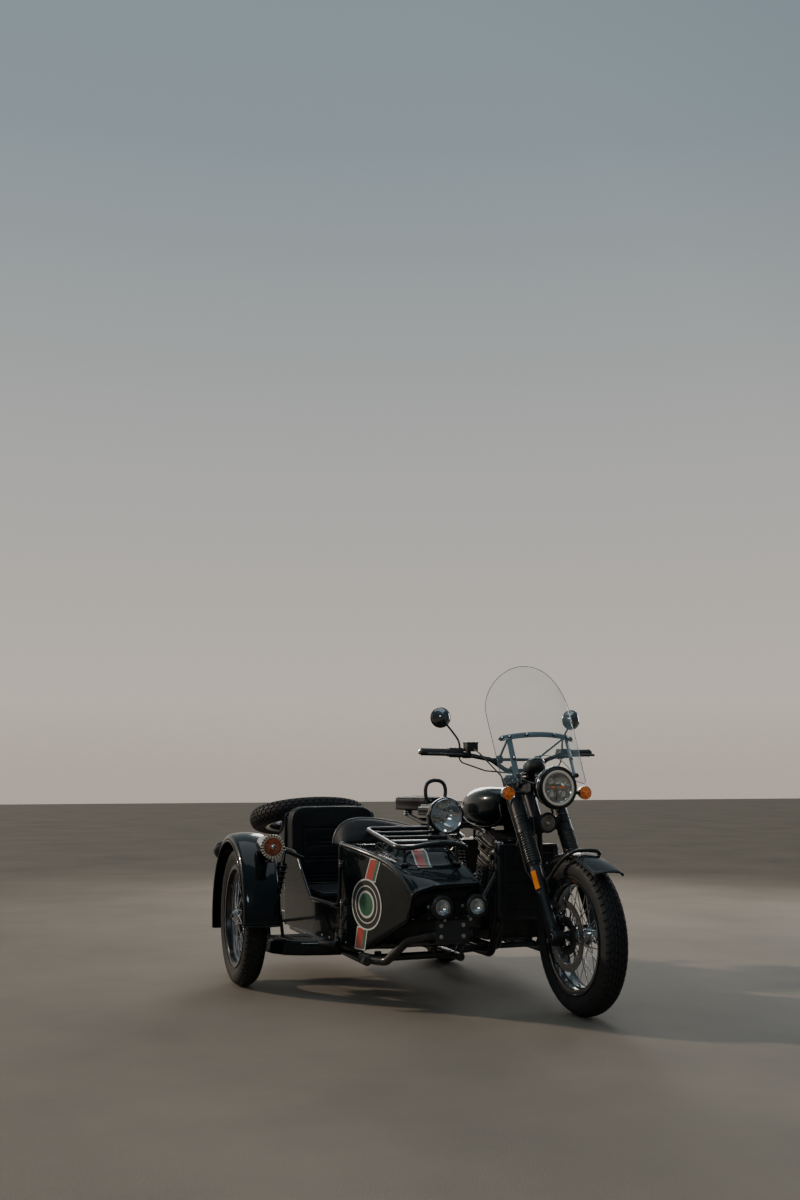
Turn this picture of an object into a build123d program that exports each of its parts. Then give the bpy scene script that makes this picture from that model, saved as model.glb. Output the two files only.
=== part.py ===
from build123d import *
import math
import os

os.makedirs("parts", exist_ok=True)

# Sidecar motorcycle.  Millimetres.  Modelling frame: x to the rider's left,
# y to the rear, z up, origin on the ground under the rear axle.  At the end
# everything is shifted so that the origin is the bottom centre of the whole.

# ---- driving dimensions --------------------------------------------------
WHEEL_R = 333.0            # tyre outer radius (18 inch rims)
RIM_SEAT_R = 231.7         # bead seat radius
FRONT_AXLE = (0.0, -1570.0, WHEEL_R)
REAR_AXLE = (0.0, 0.0, WHEEL_R)
SIDE_AXLE = (-1215.0, -360.0, WHEEL_R)
AXLE_R = 10.0
BORE_R = 10.05
RAKE = math.radians(32.5)
AXIS_FOOT = (0.0, -1468.7, 333.0)      # a point of the steering axis
LEG_X = 105.0              # fork leg to centre
LEG_FWD = 50.0             # fork legs ahead of the steering axis
STEM_R = 16.0
HEAD_BORE_R = 16.05
BAR_R = 11.0
TUBE_R = 19.0
SHEET = 4.0                # tub sheet thickness
TUB_Z = 228.0              # underside of the tub
TUB_INNER_X = -400.0       # tub wall on the motorcycle side
TUB_OUTER_X = -905.0
PLATE_PITCH = (102.0, 46.0)
PLATE_C = (-553.0, -1462.0, 362.0)     # centre of the four-bolt plate, front face
PLATE_HOLE_R = 4.2

BODY = {}                  # node name -> shape


# ---- helpers -------------------------------------------------------------
def rod(p, q, r):
    p, q = Vector(*p), Vector(*q)
    return Plane(origin=p, z_dir=q - p) * Cylinder(
        r, (q - p).length, align=(Align.CENTER, Align.CENTER, Align.MIN))


def pipe(points, r, bend):
    path = FilletPolyline(*points, radius=bend)
    return sweep(Plane(origin=path @ 0, z_dir=path % 0) * Circle(r), path=path)


def box(x0, x1, y0, y1, z0, z1):
    return Pos((x0 + x1) / 2, (y0 + y1) / 2, (z0 + z1) / 2) * Box(x1 - x0, y1 - y0, z1 - z0)


def side_face(points):
    """closed polygon in the y-z plane"""
    return make_face(Polyline(*[(0, y, z) for y, z in points], close=True))


def side_plate(points, x0, x1):
    """polygon in y-z, extruded from x0 to x1"""
    return Pos(x0, 0, 0) * extrude(side_face(points), amount=x1 - x0, dir=(1, 0, 0))


def plan_plate(points, z0, z1):
    return Pos(0, 0, z0) * extrude(make_face(Polyline(*[(x, y, 0) for x, y in points], close=True)),
                                   amount=z1 - z0, dir=(0, 0, 1))


def turned(points, where, axis="x"):
    """revolved ring: points are (along the axis, radius)"""
    face = make_face(Polyline(*[(a, r) for a, r in points], close=True))
    solid = revolve(face, axis=Axis.X)
    if axis == "y":
        solid = Rot(0, 0, 90) * solid
    return Pos(*where) * solid


def fuse(items):
    out = items[0]
    for it in items[1:]:
        out = out + it
    return out


def many(items):
    return Compound(children=[s for it in items for s in it.solids()])


def keep(shape, least=3000.0):
    """drop crumbs left by a cut"""
    good = [s for s in shape.solids() if s.volume > least]
    return good[0] if len(good) == 1 else Compound(children=good)


# ---- fork frame ----------------------------------------------------------
FK = Plane(origin=AXIS_FOOT, x_dir=(1, 0, 0),
           z_dir=(0, math.sin(RAKE), math.cos(RAKE)))
AXLE_LOC = (-101.3 * math.cos(RAKE), -101.3 * math.sin(RAKE))   # local y, z of the axle


def fork_pt(x, y, z):
    v = FK.from_local_coords(Vector(x, y, z))
    return (v.X, v.Y, v.Z)


# ---- wheels --------------------------------------------------------------
def tyre(where, width):
    h = width / 2
    line = [Line((-41, RIM_SEAT_R), (41, RIM_SEAT_R)), Line((41, RIM_SEAT_R), (41, 246)),
            ThreePointArc((41, 246), (h, 284), (h - 7, 313)),
            ThreePointArc((h - 7, 313), (0, WHEEL_R), (-h + 7, 313)),
            ThreePointArc((-h + 7, 313), (-h, 284), (-41, 246)), Line((-41, 246), (-41, RIM_SEAT_R))]
    return Pos(*where) * revolve(make_face(Wire(line)), axis=Axis.X)


def rim(where, hub_l, hub_r, barrel, flange_r=44.0, spokes=36):
    """rim ring, spokes and hub in one; hub runs from hub_l to hub_r along x"""
    ring = turned([(-46, 243), (-41.2, 243), (-41.2, 231.5), (41.2, 231.5), (41.2, 243), (46, 243),
                   (44, 225), (18, 221), (11, 214), (-11, 214), (-18, 221), (-44, 225)], (0, 0, 0))
    hub = turned([(hub_l, BORE_R), (hub_l, 20), (-35, barrel), (-35, flange_r), (-28, flange_r), (-28, barrel),
                  (28, barrel), (28, flange_r), (35, flange_r), (35, barrel), (hub_r, 20), (hub_r, BORE_R)],
                 (0, 0, 0))
    bars = []
    for i in range(spokes):
        side = -1 if i % 2 else 1
        lead = math.radians(38 if (i // 2) % 2 else -38)
        a = 2 * math.pi * i / spokes
        b = a + lead
        r0 = flange_r - 5
        bars.append(rod((side * 31.5, r0 * math.cos(b), r0 * math.sin(b)),
                        (side * 6, 219 * math.cos(a), 219 * math.sin(a)), 2.1))
    return Pos(*where) * (hub + bars + ring)


BODY["front_tyre"] = tyre(FRONT_AXLE, 112)
BODY["front_rim"] = rim(FRONT_AXLE, -65, 72, 30)
BODY["rear_tyre"] = tyre(REAR_AXLE, 120)
BODY["rear_rim"] = rim(REAR_AXLE, -72, 78, 38)
BODY["sidecar_tyre"] = tyre(SIDE_AXLE, 106)
BODY["sidecar_rim"] = rim(SIDE_AXLE, -52, 60, 34)


def disc(x, where, r_out, r_in, bore, arms=5):
    ring = turned([(x - 2.5, r_in), (x + 2.5, r_in), (x + 2.5, r_out), (x - 2.5, r_out)], (0, 0, 0))
    hubring = turned([(x - 2.5, bore), (x + 2.5, bore), (x + 2.5, 42), (x - 2.5, 42)], (0, 0, 0))
    arm = [Rot(360 / arms * k, 0, 0) * box(x - 2.5, x + 2.5, -9, 9, 38, r_in + 4) for k in range(arms)]
    return Pos(*where) * (ring + hubring + arm)


BODY["front_disc"] = disc(-67.5, FRONT_AXLE, 150, 112, BORE_R)
BODY["rear_rim"] = BODY["rear_rim"] + disc(-74.5, REAR_AXLE, 125, 92, BORE_R) + \
    disc(80.5, REAR_AXLE, 100, 78, BORE_R)                        # brake disc and sprocket
BODY["sidecar_rim"] = BODY["sidecar_rim"] + Pos(*SIDE_AXLE) * turned(
    [(60, BORE_R), (60, 60), (64, 85), (80, 85), (80, BORE_R)], (0, 0, 0))   # brake drum

# ---- fork ---------------------------------------------------------------
# leg sections: (from, to, radius) along the leg
LEG = [(-70, 306, 26), (306, 470, 33), (470, 503, 37), (503, 541, 21.5), (541, 727, 37), (727, 772, 21.5)]
legs = []
for s in (-1, 1):
    col = fuse([FK * Pos(s * LEG_X, -LEG_FWD, (a + b) / 2) * Cylinder(r, b - a) for a, b, r in LEG])
    lug = rod((s * 86, FRONT_AXLE[1], WHEEL_R), (s * 126, FRONT_AXLE[1], WHEEL_R), 23)
    web = FK * Pos(s * LEG_X, (-LEG_FWD + AXLE_LOC[0]) / 2, -35) * Box(30, 36, 50)
    legs.append(col + lug + web)
axle = rod((-132, FRONT_AXLE[1], WHEEL_R), (132, FRONT_AXLE[1], WHEEL_R), AXLE_R)
# brace tube looping over the tyre, bolted to both sliders
brace = pipe([(-88, -1456, 562), (-83, -1545, 634), (-76, -1632, 684), (76, -1632, 684), (83, -1545, 634),
              (88, -1456, 562)], 8, 28)
BODY["fork_legs"] = legs[0] + legs[1] + axle


def yoke(z0, z1):
    pts = [(-LEG_X, -LEG_FWD, 37), (LEG_X, -LEG_FWD, 37), (0, 0, 33)]
    solid = fuse([FK * Pos(x, y, (z0 + z1) / 2) * Cylinder(r, z1 - z0) for x, y, r in pts])
    web = FK * Pos(0, 0, z0) * extrude(make_face(Polyline((-LEG_X, -LEG_FWD - 20), (LEG_X, -LEG_FWD - 20),
                                                          (LEG_X, -LEG_FWD + 25), (20, 24), (-20, 24),
                                                          (-LEG_X, -LEG_FWD + 25), close=True)),
                                       amount=z1 - z0)
    return solid + web


stem = FK * Pos(0, 0, 632) * Cylinder(STEM_R, 262)
top_yoke = yoke(728, 756)
low_yoke = yoke(505, 540)
risers = [FK * Pos(s * 46, 8, 790) * Cylinder(15, 76) for s in (-1, 1)]
yokes = fuse([low_yoke, stem, top_yoke] + risers)
for s in (-1, 1):
    yokes = yokes - FK * Pos(s * LEG_X, -LEG_FWD, 640) * Cylinder(21.5, 300)

# handlebar: points for the right half, mirrored
BAR_MID = fork_pt(0, 8, 842)
half = [(-462, -855, 1130), (-292, -896, 1126), (-150, -985, 1092), (-78, BAR_MID[1], BAR_MID[2])]
bar_pts = half + [(-x, y, z) for x, y, z in reversed(half)]
bar = pipe(bar_pts, BAR_R, 45)
cross = rod((-152, -985, 1092), (152, -985, 1092), 8)
BODY["handlebar"] = bar + cross
BODY["yokes"] = yokes - bar

grips = []
for s in (-1, 1):
    d = Vector(s * -170, -41, -4).normalized()
    e = Vector(s * 461, -855, 1130)
    a = e + d * 0
    b = e + d * 132
    g = rod((a.X, a.Y, a.Z), (b.X, b.Y, b.Z), 17)
    c = e + d * 136
    f = e + d * 206
    sw = rod((c.X, c.Y, c.Z), (f.X, f.Y, f.Z), 21)
    grips.append(g - bar)
    grips.append(sw - bar)
BODY["grips"] = many(grips)

levers = []
for s in (-1, 1):
    perch = box(min(s * 268, s * 236), max(s * 268, s * 236), -948, -913, 1098, 1126) - bar
    blade = pipe([(s * 250, -940, 1112), (s * 300, -952, 1114), (s * 400, -935, 1118), (s * 448, -920, 1118)], 6, 40)
    levers.append(perch + blade)
reservoir = box(-262, -206, -962, -912, 1132, 1170)
levers[0] = levers[0] + (reservoir + box(-252, -236, -945, -920, 1120, 1136) - bar)
BODY["levers"] = many(levers) - many(grips)

mirrors = []
for s in (-1, 1):
    glass_c = Vector(s * 360, -858, 1297)
    facing = Vector(s * -0.10, 1, 0.04).normalized()
    head = Plane(origin=glass_c, z_dir=facing) * (Pos(0, 0, -4) * Cylinder(50, 16)
                                                  + Pos(0, 0, -20) * Cone(18, 48, 16))
    stem_m = pipe([(s * 282, -912, 1116), (s * 278, -908, 1165), (s * 318, -884, 1235), (s * 352, -882, 1290)], 5, 22)
    mirrors.append(head + stem_m - bar)
BODY["mirrors"] = keep(many(mirrors) - many(grips))

# headlight
HL = (0, -1400, 960)
shell = Pos(*HL) * Rot(0, 0, 90) * revolve(make_face(Polyline(
    (0, 0), (0, 84), (6, 97.5), (32, 97.5), (36, 92), (70, 90), (120, 70), (160, 38), (168, 0), close=True)),
    axis=Axis.X)
ears = []
for s in (-1, 1):
    ear = side_plate([(-1318, 945), (-1318, 975), (-1290, 985), (-1150, 985), (-1150, 905), (-1180, 905)],
                     s * 100 - 3, s * 100 + 3)
    ears.append(ear)
headlight = shell + rod((-103, -1305, 960), (103, -1305, 960), 9)
BODY["headlight"] = headlight - many(ears)
brk = []
for e in ears:
    brk.append(e - BODY["fork_legs"])
signal_rods = [rod((s * 103, -1240, 935), (s * 168, -1258, 935), 7) for s in (-1, 1)]
BODY["lamp_brackets"] = many([brk[0] + signal_rods[0], brk[1] + signal_rods[1]])
BODY["front_signals"] = many([
    turned([(0, 0), (0, 20), (10, 31), (22, 31), (30, 26), (48, 22), (56, 0)], (s * 198, -1292, 935), "y")
    - signal_rods[0] - signal_rods[1] for s in (-1, 1)])
BODY["instrument"] = Plane(origin=(0, -1162, 1052), z_dir=(0, 0.62, 0.78)) * (
    Cylinder(50, 40) + Pos(0, 0, -28) * Cylinder(14, 22)) + rod((-60, -1148, 1020), (60, -1148, 1020), 5)

# windscreen: a sheet bent about a leaning axis
LEAN = math.radians(24.7)
SCREEN_R = 380.0
WS = Plane(origin=(0, -1228, 1208), x_dir=(1, 0, 0), z_dir=(0, -math.cos(LEAN), math.sin(LEAN)))
# in WS: x across, y up along the sheet, z out of the front


def bent(r_out, r_in):
    return (Pos(0, 0, -SCREEN_R) * Rot(90, 0, 0) * Cylinder(r_out, 1400)
            - Pos(0, 0, -SCREEN_R) * Rot(90, 0, 0) * Cylinder(r_in, 1400))


outline = make_face(Wire([
    Line((-216, -228), (-225, 125)), ThreePointArc((-225, 125), (0, 366.5), (225, 125)),
    Line((225, 125), (216, -228)), Line((216, -228), (140, -232)),
    ThreePointArc((140, -232), (0, -112), (-140, -232)), Line((-140, -232), (-216, -228))]))
blade = extrude(Pos(0, 0, -300) * outline, amount=600)
BODY["windscreen"] = WS * (bent(SCREEN_R + 4, SCREEN_R) & blade)
strap = WS * (bent(SCREEN_R - 0.2, SCREEN_R - 5) & (Pos(0, 0, 0) * Box(388, 26, 400)))
downs = [WS * (bent(SCREEN_R - 0.2, SCREEN_R - 5) & Pos(s * 150, -106, 0) * Box(24, 204, 400)) for s in (-1, 1)]
stays = [rod((s * 150, -1196, 1200), (s * 104, -990, 1100), 6) for s in (-1, 1)]
lows = [rod((s * 148, -1290, 1012), (s * 104, -1205, 968), 6) for s in (-1, 1)]
knobs = [rod((s * 92, -985, 1092), (s * 116, -985, 1092), 15) - cross for s in (-1, 1)]
BODY["screen_bracket"] = fuse([strap] + downs + stays + lows + knobs) - many(ears) - BODY["handlebar"] - \
    BODY["windscreen"]
BODY["screen_bracket"] = keep(BODY["screen_bracket"], 500)


# front mudguard
def band(profile_outer, profile_inner, x0, x1):
    return side_plate(profile_outer + list(reversed(profile_inner)), x0, x1)


def arc_pts(cy, cz, r, a0, a1, n):
    """points on a circle; angle 0 is straight up, positive to the front"""
    return [(cy - r * math.sin(math.radians(a0 + (a1 - a0) * i / n)),
             cz + r * math.cos(math.radians(a0 + (a1 - a0) * i / n))) for i in range(n + 1)]


out = arc_pts(-1570, 333, 352, -36, 14, 6) + [(-1764, 645), (-1858, 608)]
inn = arc_pts(-1570, 333, 348, -36, 14, 6) + [(-1763, 641), (-1857, 604)]
BODY["front_mudguard"] = band(out, inn, -64, 64)
BODY["front_mudguard"] = keep(BODY["front_mudguard"] + (brace - BODY["fork_legs"]), 1000)
cal_c = (-73, -1432, 398)
caliper = Pos(*cal_c) * Rot(-32, 0, 0) * Box(46, 70, 118)
caliper = caliper - turned([(-77, 30), (-58, 30), (-58, 158), (-77, 158)], FRONT_AXLE)
BODY["front_caliper"] = caliper - BODY["fork_legs"]

# brake hose: reservoir, outside of the right leg, caliper
HOSE_R = 3.5
hose = pipe([(-234, -950, 1150), (-232, -1040, 1120), (-168, -1150, 1010), fork_pt(-152, -50, 610),
             fork_pt(-148, -50, 420), fork_pt(-136, -20, 290), fork_pt(-90, 0, 190), (-76, -1403, 440)], HOSE_R, 30)
BODY["brake_hose"] = keep(hose - BODY["levers"] - BODY["front_caliper"] - BODY["handlebar"] - BODY["fork_legs"])
# switch looms: from each switch housing over the top yoke into the headlight
looms = []
for s in (-1, 1):
    loom = pipe([(s * 285, -898, 1118), (s * 272, -902, 1080), (s * 190, -1010, 1038), (s * 74, -1118, 1024),
                 (s * 66, -1190, 992), (s * 40, -1262, 974)], HOSE_R, 30)
    looms.append(keep(loom - BODY["grips"] - BODY["handlebar"] - BODY["levers"] - BODY["mirrors"] - BODY["headlight"]
                      - BODY["yokes"] - BODY["fork_legs"] - BODY["instrument"]))
BODY["switch_looms"] = many(looms)

# ---- frame of the motorcycle --------------------------------------------
head = FK * (Pos(0, 0, 634) * Cylinder(29, 180)) - FK * (Pos(0, 0, 634) * Cylinder(HEAD_BORE_R, 300))
H_TOP = fork_pt(0, 0, 690)
H_LOW = fork_pt(0, 0, 580)
spine = rod((0, H_TOP[1] + 20, H_TOP[2] - 15), (0, -470, 790), 22)
tail_rails = [pipe([(s * 60, -470, 760), (s * 92, -330, 730), (s * 95, 80, 752), (s * 95, 330, 790)], 13, 60)
              for s in (-1, 1)]
seat_cross = [rod((-100, -470, 760), (100, -470, 760), 16), rod((-95, 80, 752), (95, 80, 752), 11)]
BODY["frame_spine"] = fuse([head, spine] + seat_cross + tail_rails) - \
    FK * (Pos(0, 0, 634) * Cylinder(HEAD_BORE_R, 300)) + box(-16, 16, -490, -450, 755, 800)
cradle = []
for s in (-1, 1):
    cradle.append(pipe([(s * 34, H_LOW[1] + 34, H_LOW[2] - 20), (s * 105, -1000, 420), (s * 110, -960, 205),
                        (s * 120, -520, 205), (s * 118, -430, 330), (s * 100, -440, 742)], 15, 55))
cross_t = [rod((-113, y, z), (113, y, z), 13) for y, z in ((-900, 205), (-560, 205))]
BODY["frame_cradle"] = fuse(cradle + cross_t) - BODY["frame_spine"]
pivot = [rod((s * 100, -430, 380), (s * 140, -430, 380), 24) for s in (-1, 1)]
arm_t = [pipe([(s * 128, -455, 380), (s * 128, -300, 372), (s * 122, 0, 333), (s * 122, 45, 328)], 17, 60)
         for s in (-1, 1)]
swing = fuse(arm_t + [rod((-128, -395, 378), (128, -395, 378), 14), rod((-140, 0, 333), (140, 0, 333), AXLE_R)])
BODY["swing_arm"] = swing - BODY["frame_cradle"]
shock = []
for s in (-1, 1):
    shock.append(fuse([rod((s * 155, -30, 352), (s * 152, -95, 742), 8), rod((s * 154, -42, 420), (s * 152, -84, 672), 27),
                       rod((s * 95, -95, 742), (s * 172, -95, 742), 11), rod((s * 139.3, -30, 352), (s * 172, -30, 352), 14)]))
BODY["rear_shocks"] = many(shock) - BODY["frame_spine"] - BODY["swing_arm"]

# ---- engine, cooling, exhaust -------------------------------------------
crank = box(-140, 140, -930, -500, 232, 470)
crank = fillet(crank.edges().filter_by(Axis.X), 55)
covers = [rod((s * 138, -640, 350), (s * 178, -640, 350), 108) for s in (-1, 1)]
cov2 = [rod((s * 138, -840, 345), (s * 165, -840, 345), 72) for s in (-1, 1)]
BODY["engine_case"] = (crank + covers + cov2) - BODY["frame_cradle"]
CY = Pos(0, -800, 470) * Rot(18, 0, 0)          # cylinders lean forward
block = CY * Pos(0, 0, 130) * Box(236, 150, 264)
fins = [CY * Pos(0, 0, 28 + 18 * k) * Box(300, 190, 5) for k in range(9)]
cyl_block = block + fins + [CY * Pos(0, 0, 232) * Box(290, 200, 66)]
BODY["engine_cylinders"] = cyl_block - BODY["engine_case"] - BODY["frame_cradle"] - BODY["frame_spine"] - \
    box(-200, 200, -1100, -400, 748, 900)
BODY["radiator"] = box(-150, 150, -1078, -1040, 345, 690) - BODY["frame_cradle"]
exh = []
for s in (-1, 1):
    front = pipe([(s * 75, -905, 560), (s * 75, -1000, 560), (s * 92, -1020, 480), (s * 142, -1018, 300),
                  (s * 150, -960, 182), (s * 165, -560, 182)], 19, 40)
    exh.append(front + rod((s * 165, -560, 182), (s * 170, -480, 190), 26))
silencer = pipe([(170, -480, 190), (190, -300, 225), (205, -60, 275), (208, 330, 330)], 41, 150)
back_box = pipe([(-170, -480, 190), (-180, -300, 225), (-186, -60, 275), (-188, 330, 330)], 41, 150)
BODY["exhausts"] = many([(exh[0] + back_box), (exh[1] + silencer)]) - BODY["engine_cylinders"] - \
    BODY["radiator"] - BODY["frame_cradle"] - BODY["engine_case"]

# ---- tank, saddles, rear body -------------------------------------------
def rr(y, zc, w, h, r):
    return Plane(origin=(0, y, zc), x_dir=(1, 0, 0), z_dir=(0, -1, 0)) * RectangleRounded(w, h, r)


# tank sections: y, centre height, width, height, corner radius
TANK = [(-478, 846, 170, 120, 40), (-640, 856, 284, 182, 75), (-850, 862, 300, 192, 80), (-975, 872, 196, 150, 62)]
tank = loft([rr(*row) for row in TANK])
BODY["fuel_tank"] = tank - box(-40, 40, -1100, -400, 700, 822) - BODY["frame_spine"]
# saddles: plan outline as a table of (y, half width)
def saddle(rows, z0, z1):
    left = [(-w, y) for y, w in rows]
    right = [(w, y) for y, w in reversed(rows)]
    return plan_plate(left + right, z0, z1)


BODY["rider_saddle"] = saddle([(-440, 70), (-330, 96), (-200, 150), (-60, 168), (10, 140), (30, 90)], 796, 850)
BODY["pillion_saddle"] = saddle([(128, 60), (180, 84), (300, 132), (420, 140), (470, 100), (488, 50)], 816, 900)
# saddle springs and posts stand on the tail rails
springs = [rod((s * 95, -60, 745), (s * 95, -60, 795.8), 24) for s in (-1, 1)] + \
          [rod((s * 95, 315, 785), (s * 95, 315, 815.8), 22) for s in (-1, 1)] + \
          [rod((0, 160, 770), (0, 160, 815.8), 14), box(-95, 95, 140, 180, 758, 778)]
BODY["frame_spine"] = fuse([BODY["frame_spine"]] + springs)
BODY["grab_handle"] = pipe([(-50, 119, 872), (-57, 119, 935), (-30, 119, 990), (30, 119, 990), (57, 119, 935),
                            (50, 119, 872)], 9, 26) + box(-60, 60, 108, 127.8, 858, 874)
g_out = arc_pts(0, 333, 392, 62, -98, 16)
g_inn = arc_pts(0, 333, 388, 62, -98, 16)
BODY["rear_mudguard"] = band(g_out, g_inn, -76, 76) - BODY["swing_arm"] - BODY["frame_spine"] - BODY["frame_cradle"]
BODY["side_covers"] = many([side_plate([(-400, 480), (-190, 560), (-170, 690), (-400, 700)], s * 132 - 14, s * 132 + 14)
                            - BODY["frame_spine"] - BODY["frame_cradle"] - BODY["rear_shocks"] for s in (-1, 1)]
                           ) + box(-118, 118, -395, -215, 520, 680)
BODY["side_covers"] = BODY["side_covers"] - Pos(0, 0, 333) * Rot(0, 90, 0) * Cylinder(394, 600) - \
    BODY["frame_spine"] - BODY["frame_cradle"] - BODY["rear_shocks"]
BODY["tail_lamp"] = box(-48, 48, 386, 430, 575, 640) + rod((-150, 405, 610), (150, 405, 610), 7) - \
    BODY["rear_mudguard"]
BODY["tail_lamp"] = BODY["tail_lamp"] + [rod((s * 150, 390, 610), (s * 150, 440, 610), 30) for s in (-1, 1)]
BODY["number_plate"] = box(-100, 100, 447, 450, 400, 550) + box(-15, 15, 370, 447, 470, 482)
for s in (-1, 1):
    BODY["number_plate"] = BODY["number_plate"] - rod((s * 60, 440, 530), (s * 60, 460, 530), 3.2)
BODY["number_plate"] = keep(BODY["number_plate"] - BODY["rear_mudguard"])
pegs = []
for s in (-1, 1):
    pegs.append(rod((s * 112, -478, 264), (s * 250, -478, 264), 13))
BODY["frame_cradle"] = BODY["frame_cradle"] + pegs - BODY["exhausts"] - BODY["engine_case"]

# ---- sidecar frame --------------------------------------------------------
LOW_Z = 200.0
IN_X, OUT_X = -375, -820                # inner and outer long tubes
long_t = [rod((IN_X, -1130, LOW_Z), (IN_X, 230, LOW_Z), 19), rod((OUT_X, -1120, LOW_Z), (OUT_X, 180, LOW_Z), 19)]
cross_s = [rod((OUT_X, y, LOW_Z), (IN_X, y, LOW_Z), 17) for y in (-1030, 100)]
mid = rod((-1040, -560, LOW_Z), (IN_X, -560, LOW_Z), 19)
pads = [rod((x, y, LOW_Z), (x, y, TUB_Z), 16) for x in (-470, -740) for y in (-1030, -560, 100)]
BODY["sidecar_frame"] = fuse(long_t + cross_s + [mid] + pads)
low_f = rod((-138, -900, 205), (IN_X, -960, LOW_Z), 16)
low_r = rod((-138, -560, 205), (IN_X, -430, LOW_Z), 16)
up_f = rod((-118, -985, 560), (IN_X, -1080, 205), 15)
up_r = rod((-112, -436, 640), (IN_X, -150, 205), 15)
BODY["sidecar_struts"] = many([
    (t - BODY["frame_cradle"] - BODY["sidecar_frame"] - BODY["exhausts"] - BODY["engine_case"]
     - BODY["radiator"] - BODY["engine_cylinders"] - BODY["side_covers"]).solids().sort_by(SortBy.VOLUME)[-1]
    for t in (low_f, low_r, up_f, up_r)])

# wheel arm: trailing arm from the mid tube to the axle, with its shock
arm_s = pipe([(-1000, -560, LOW_Z), (-1085, -550, LOW_Z - 4), (-1100, -405, LOW_Z), (-1100, -360, 320)], 18, 30)
stub = rod((-1130, -360, WHEEL_R), (-1276, -360, WHEEL_R), AXLE_R)
knuckle = rod((-1092, -360, WHEEL_R), (-1130, -360, WHEEL_R), 26)
BODY["sidecar_arm"] = fuse([arm_s, knuckle, stub]) - BODY["sidecar_frame"]
BODY["sidecar_arm"] = fuse([BODY["sidecar_arm"],rod((-1090, -395, 322), (-1000, -330, 640), 8),
                              rod((-1080, -388, 358), (-1018, -343, 577), 26),
                              rod((-1000, -330, 640), (-906, -330, 600), 11)])

# ---- tub ------------------------------------------------------------------
SIDE = [(300, TUB_Z), (-1050, TUB_Z), (-1396, 402), (-1434, 508), (-1430, 540), (-1400, 566), (-1345, 593),
        (-1288, 617), (-1139, 660), (-890, 697), (-800, 700), (60, 822), (110, 808), (640, 538), (690, 470), (692, 380), (600, 290)]
PLAN = [(TUB_INNER_X - 6, -1430), (TUB_INNER_X, -1300), (TUB_INNER_X, 420), (TUB_INNER_X - 40, 692), (-800, 692),
        (-880, 300), (TUB_OUTER_X, 50), (TUB_OUTER_X, -520), (-870, -890), (-725, -1430), (-570, -1444)]


def shrink(face, d):
    return offset(face, amount=-d, kind=Kind.INTERSECTION)


side_f = side_face(SIDE)
plan_f = make_face(Polyline(*[(x, y, 0) for x, y in PLAN], close=True))


def prism(sf, pf):
    a = Pos(-1000, 0, 0) * extrude(sf, amount=700, dir=(1, 0, 0))
    b = Pos(0, 0, 100) * extrude(pf, amount=900, dir=(0, 0, 1))
    return a & b


outer = prism(side_f, plan_f)
inner = prism(shrink(side_f, SHEET), shrink(plan_f, SHEET))
bulk = box(-960, -380, 44, 48, 200, 900) & outer
seat_box = box(-840, -450, -520, -60, TUB_Z + 1, 391.5) - box(-800, -490, -600, -100, 240, 371)
tub = (outer - inner) + bulk + seat_box
# cockpit and door opening: (y, z) outlines cut through each wall
DOOR = [(-884, 1000), (-884, 425), (-866, 413), (-523, 415), (-470, 432), (-215, 610), (-190, 625), (43, 628), (43, 1000)]
INNER_CUT = [(-884, 1000), (-884, 697), (-640, 720), (43, 720), (43, 1000)]
tub = tub - side_plate(DOOR, -980, -560) - side_plate(INNER_CUT, -561, -380)
BODY["tub"] = tub

# cowl: raised arch behind the rack, open to the cockpit
ARCH = [(-866, 690), (-858, 735), (-820, 785), (-760, 808), (-690, 806), (-560, 788), (-450, 762), (-408, 725), (-406, 690)]
arch_f = make_face(Polyline(*[(x, 0, z) for x, z in ARCH], close=True))
arch_i = offset(arch_f, amount=-SHEET, kind=Kind.INTERSECTION)
COWL_Y = (-886, -742)


def under(dz):
    return side_plate([(-886, 400), (-886, 700 - dz), (-770, 812 - dz), (-600, 835 - dz), (-600, 400)], -1000, -300)


cowl_o = (Pos(0, COWL_Y[0], 0) * extrude(arch_f, amount=COWL_Y[1] - COWL_Y[0], dir=(0, 1, 0))) & under(0)
cowl_i = (Pos(0, COWL_Y[0] - 30, 0) * extrude(arch_i, amount=230, dir=(0, 1, 0))) & under(SHEET + 2)
cowl = cowl_o - cowl_i - side_plate([(-884, 500), (-884, 694), (-600, 694), (-600, 500)], -860, -412)
BODY["cowl"] = cowl - BODY["tub"]

# edge trim: bead along the door opening and coaming
trim = pipe([(-899, -870, 421.8), (-908, -523, 423.8), (-908, -206, 631), (-908, 30, 636)], 7, 16)
BODY["door_trim"] = trim - BODY["tub"]

# seat
BODY["sidecar_cushion"] = box(-862, -432, -560, -90, 392, 455)
BODY["sidecar_backrest"] = side_plate([(-82, 462), (-70, 445), (26, 445), (38, 842), (28, 852), (-34, 852), (-44, 842)],
                                      -896, -436) - BODY["tub"]

# rack
rack_z = lambda y: 702 + (y + 1305) * 62 / 455
RX0, RX1, RY0, RY1 = -742, -415, -1305, -850
RACK_CORNER = 45.0
rk = []


def rail(x, y, up=0.0):
    return (x, y, rack_z(y) + up)


q = RACK_CORNER
# outer loop in two halves; its front rail rises in the middle
rk.append(pipe([rail(-578, RY1), rail(RX0, RY1), rail(RX0, RY0), rail(-672, RY0), rail(-610, RY0, 11), rail(-530, RY0, 18)], 11, q))
rk.append(pipe([rail(-578, RY1), rail(RX1, RY1), rail(RX1, RY0, -4), rail(-452, RY0, 8), rail(-490, RY0, 16), rail(-530, RY0, 18)], 11, 22))
rk.append(rod(rail(-592, RY1), rail(-564, RY1), 13))
rk.append(rod(rail(-545, RY0, 17), rail(-515, RY0, 17), 13.5))
for y in (-964, -1078, -1191):
    rk.append(rod(rail(RX0, y), rail(RX1, y), 9))


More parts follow.
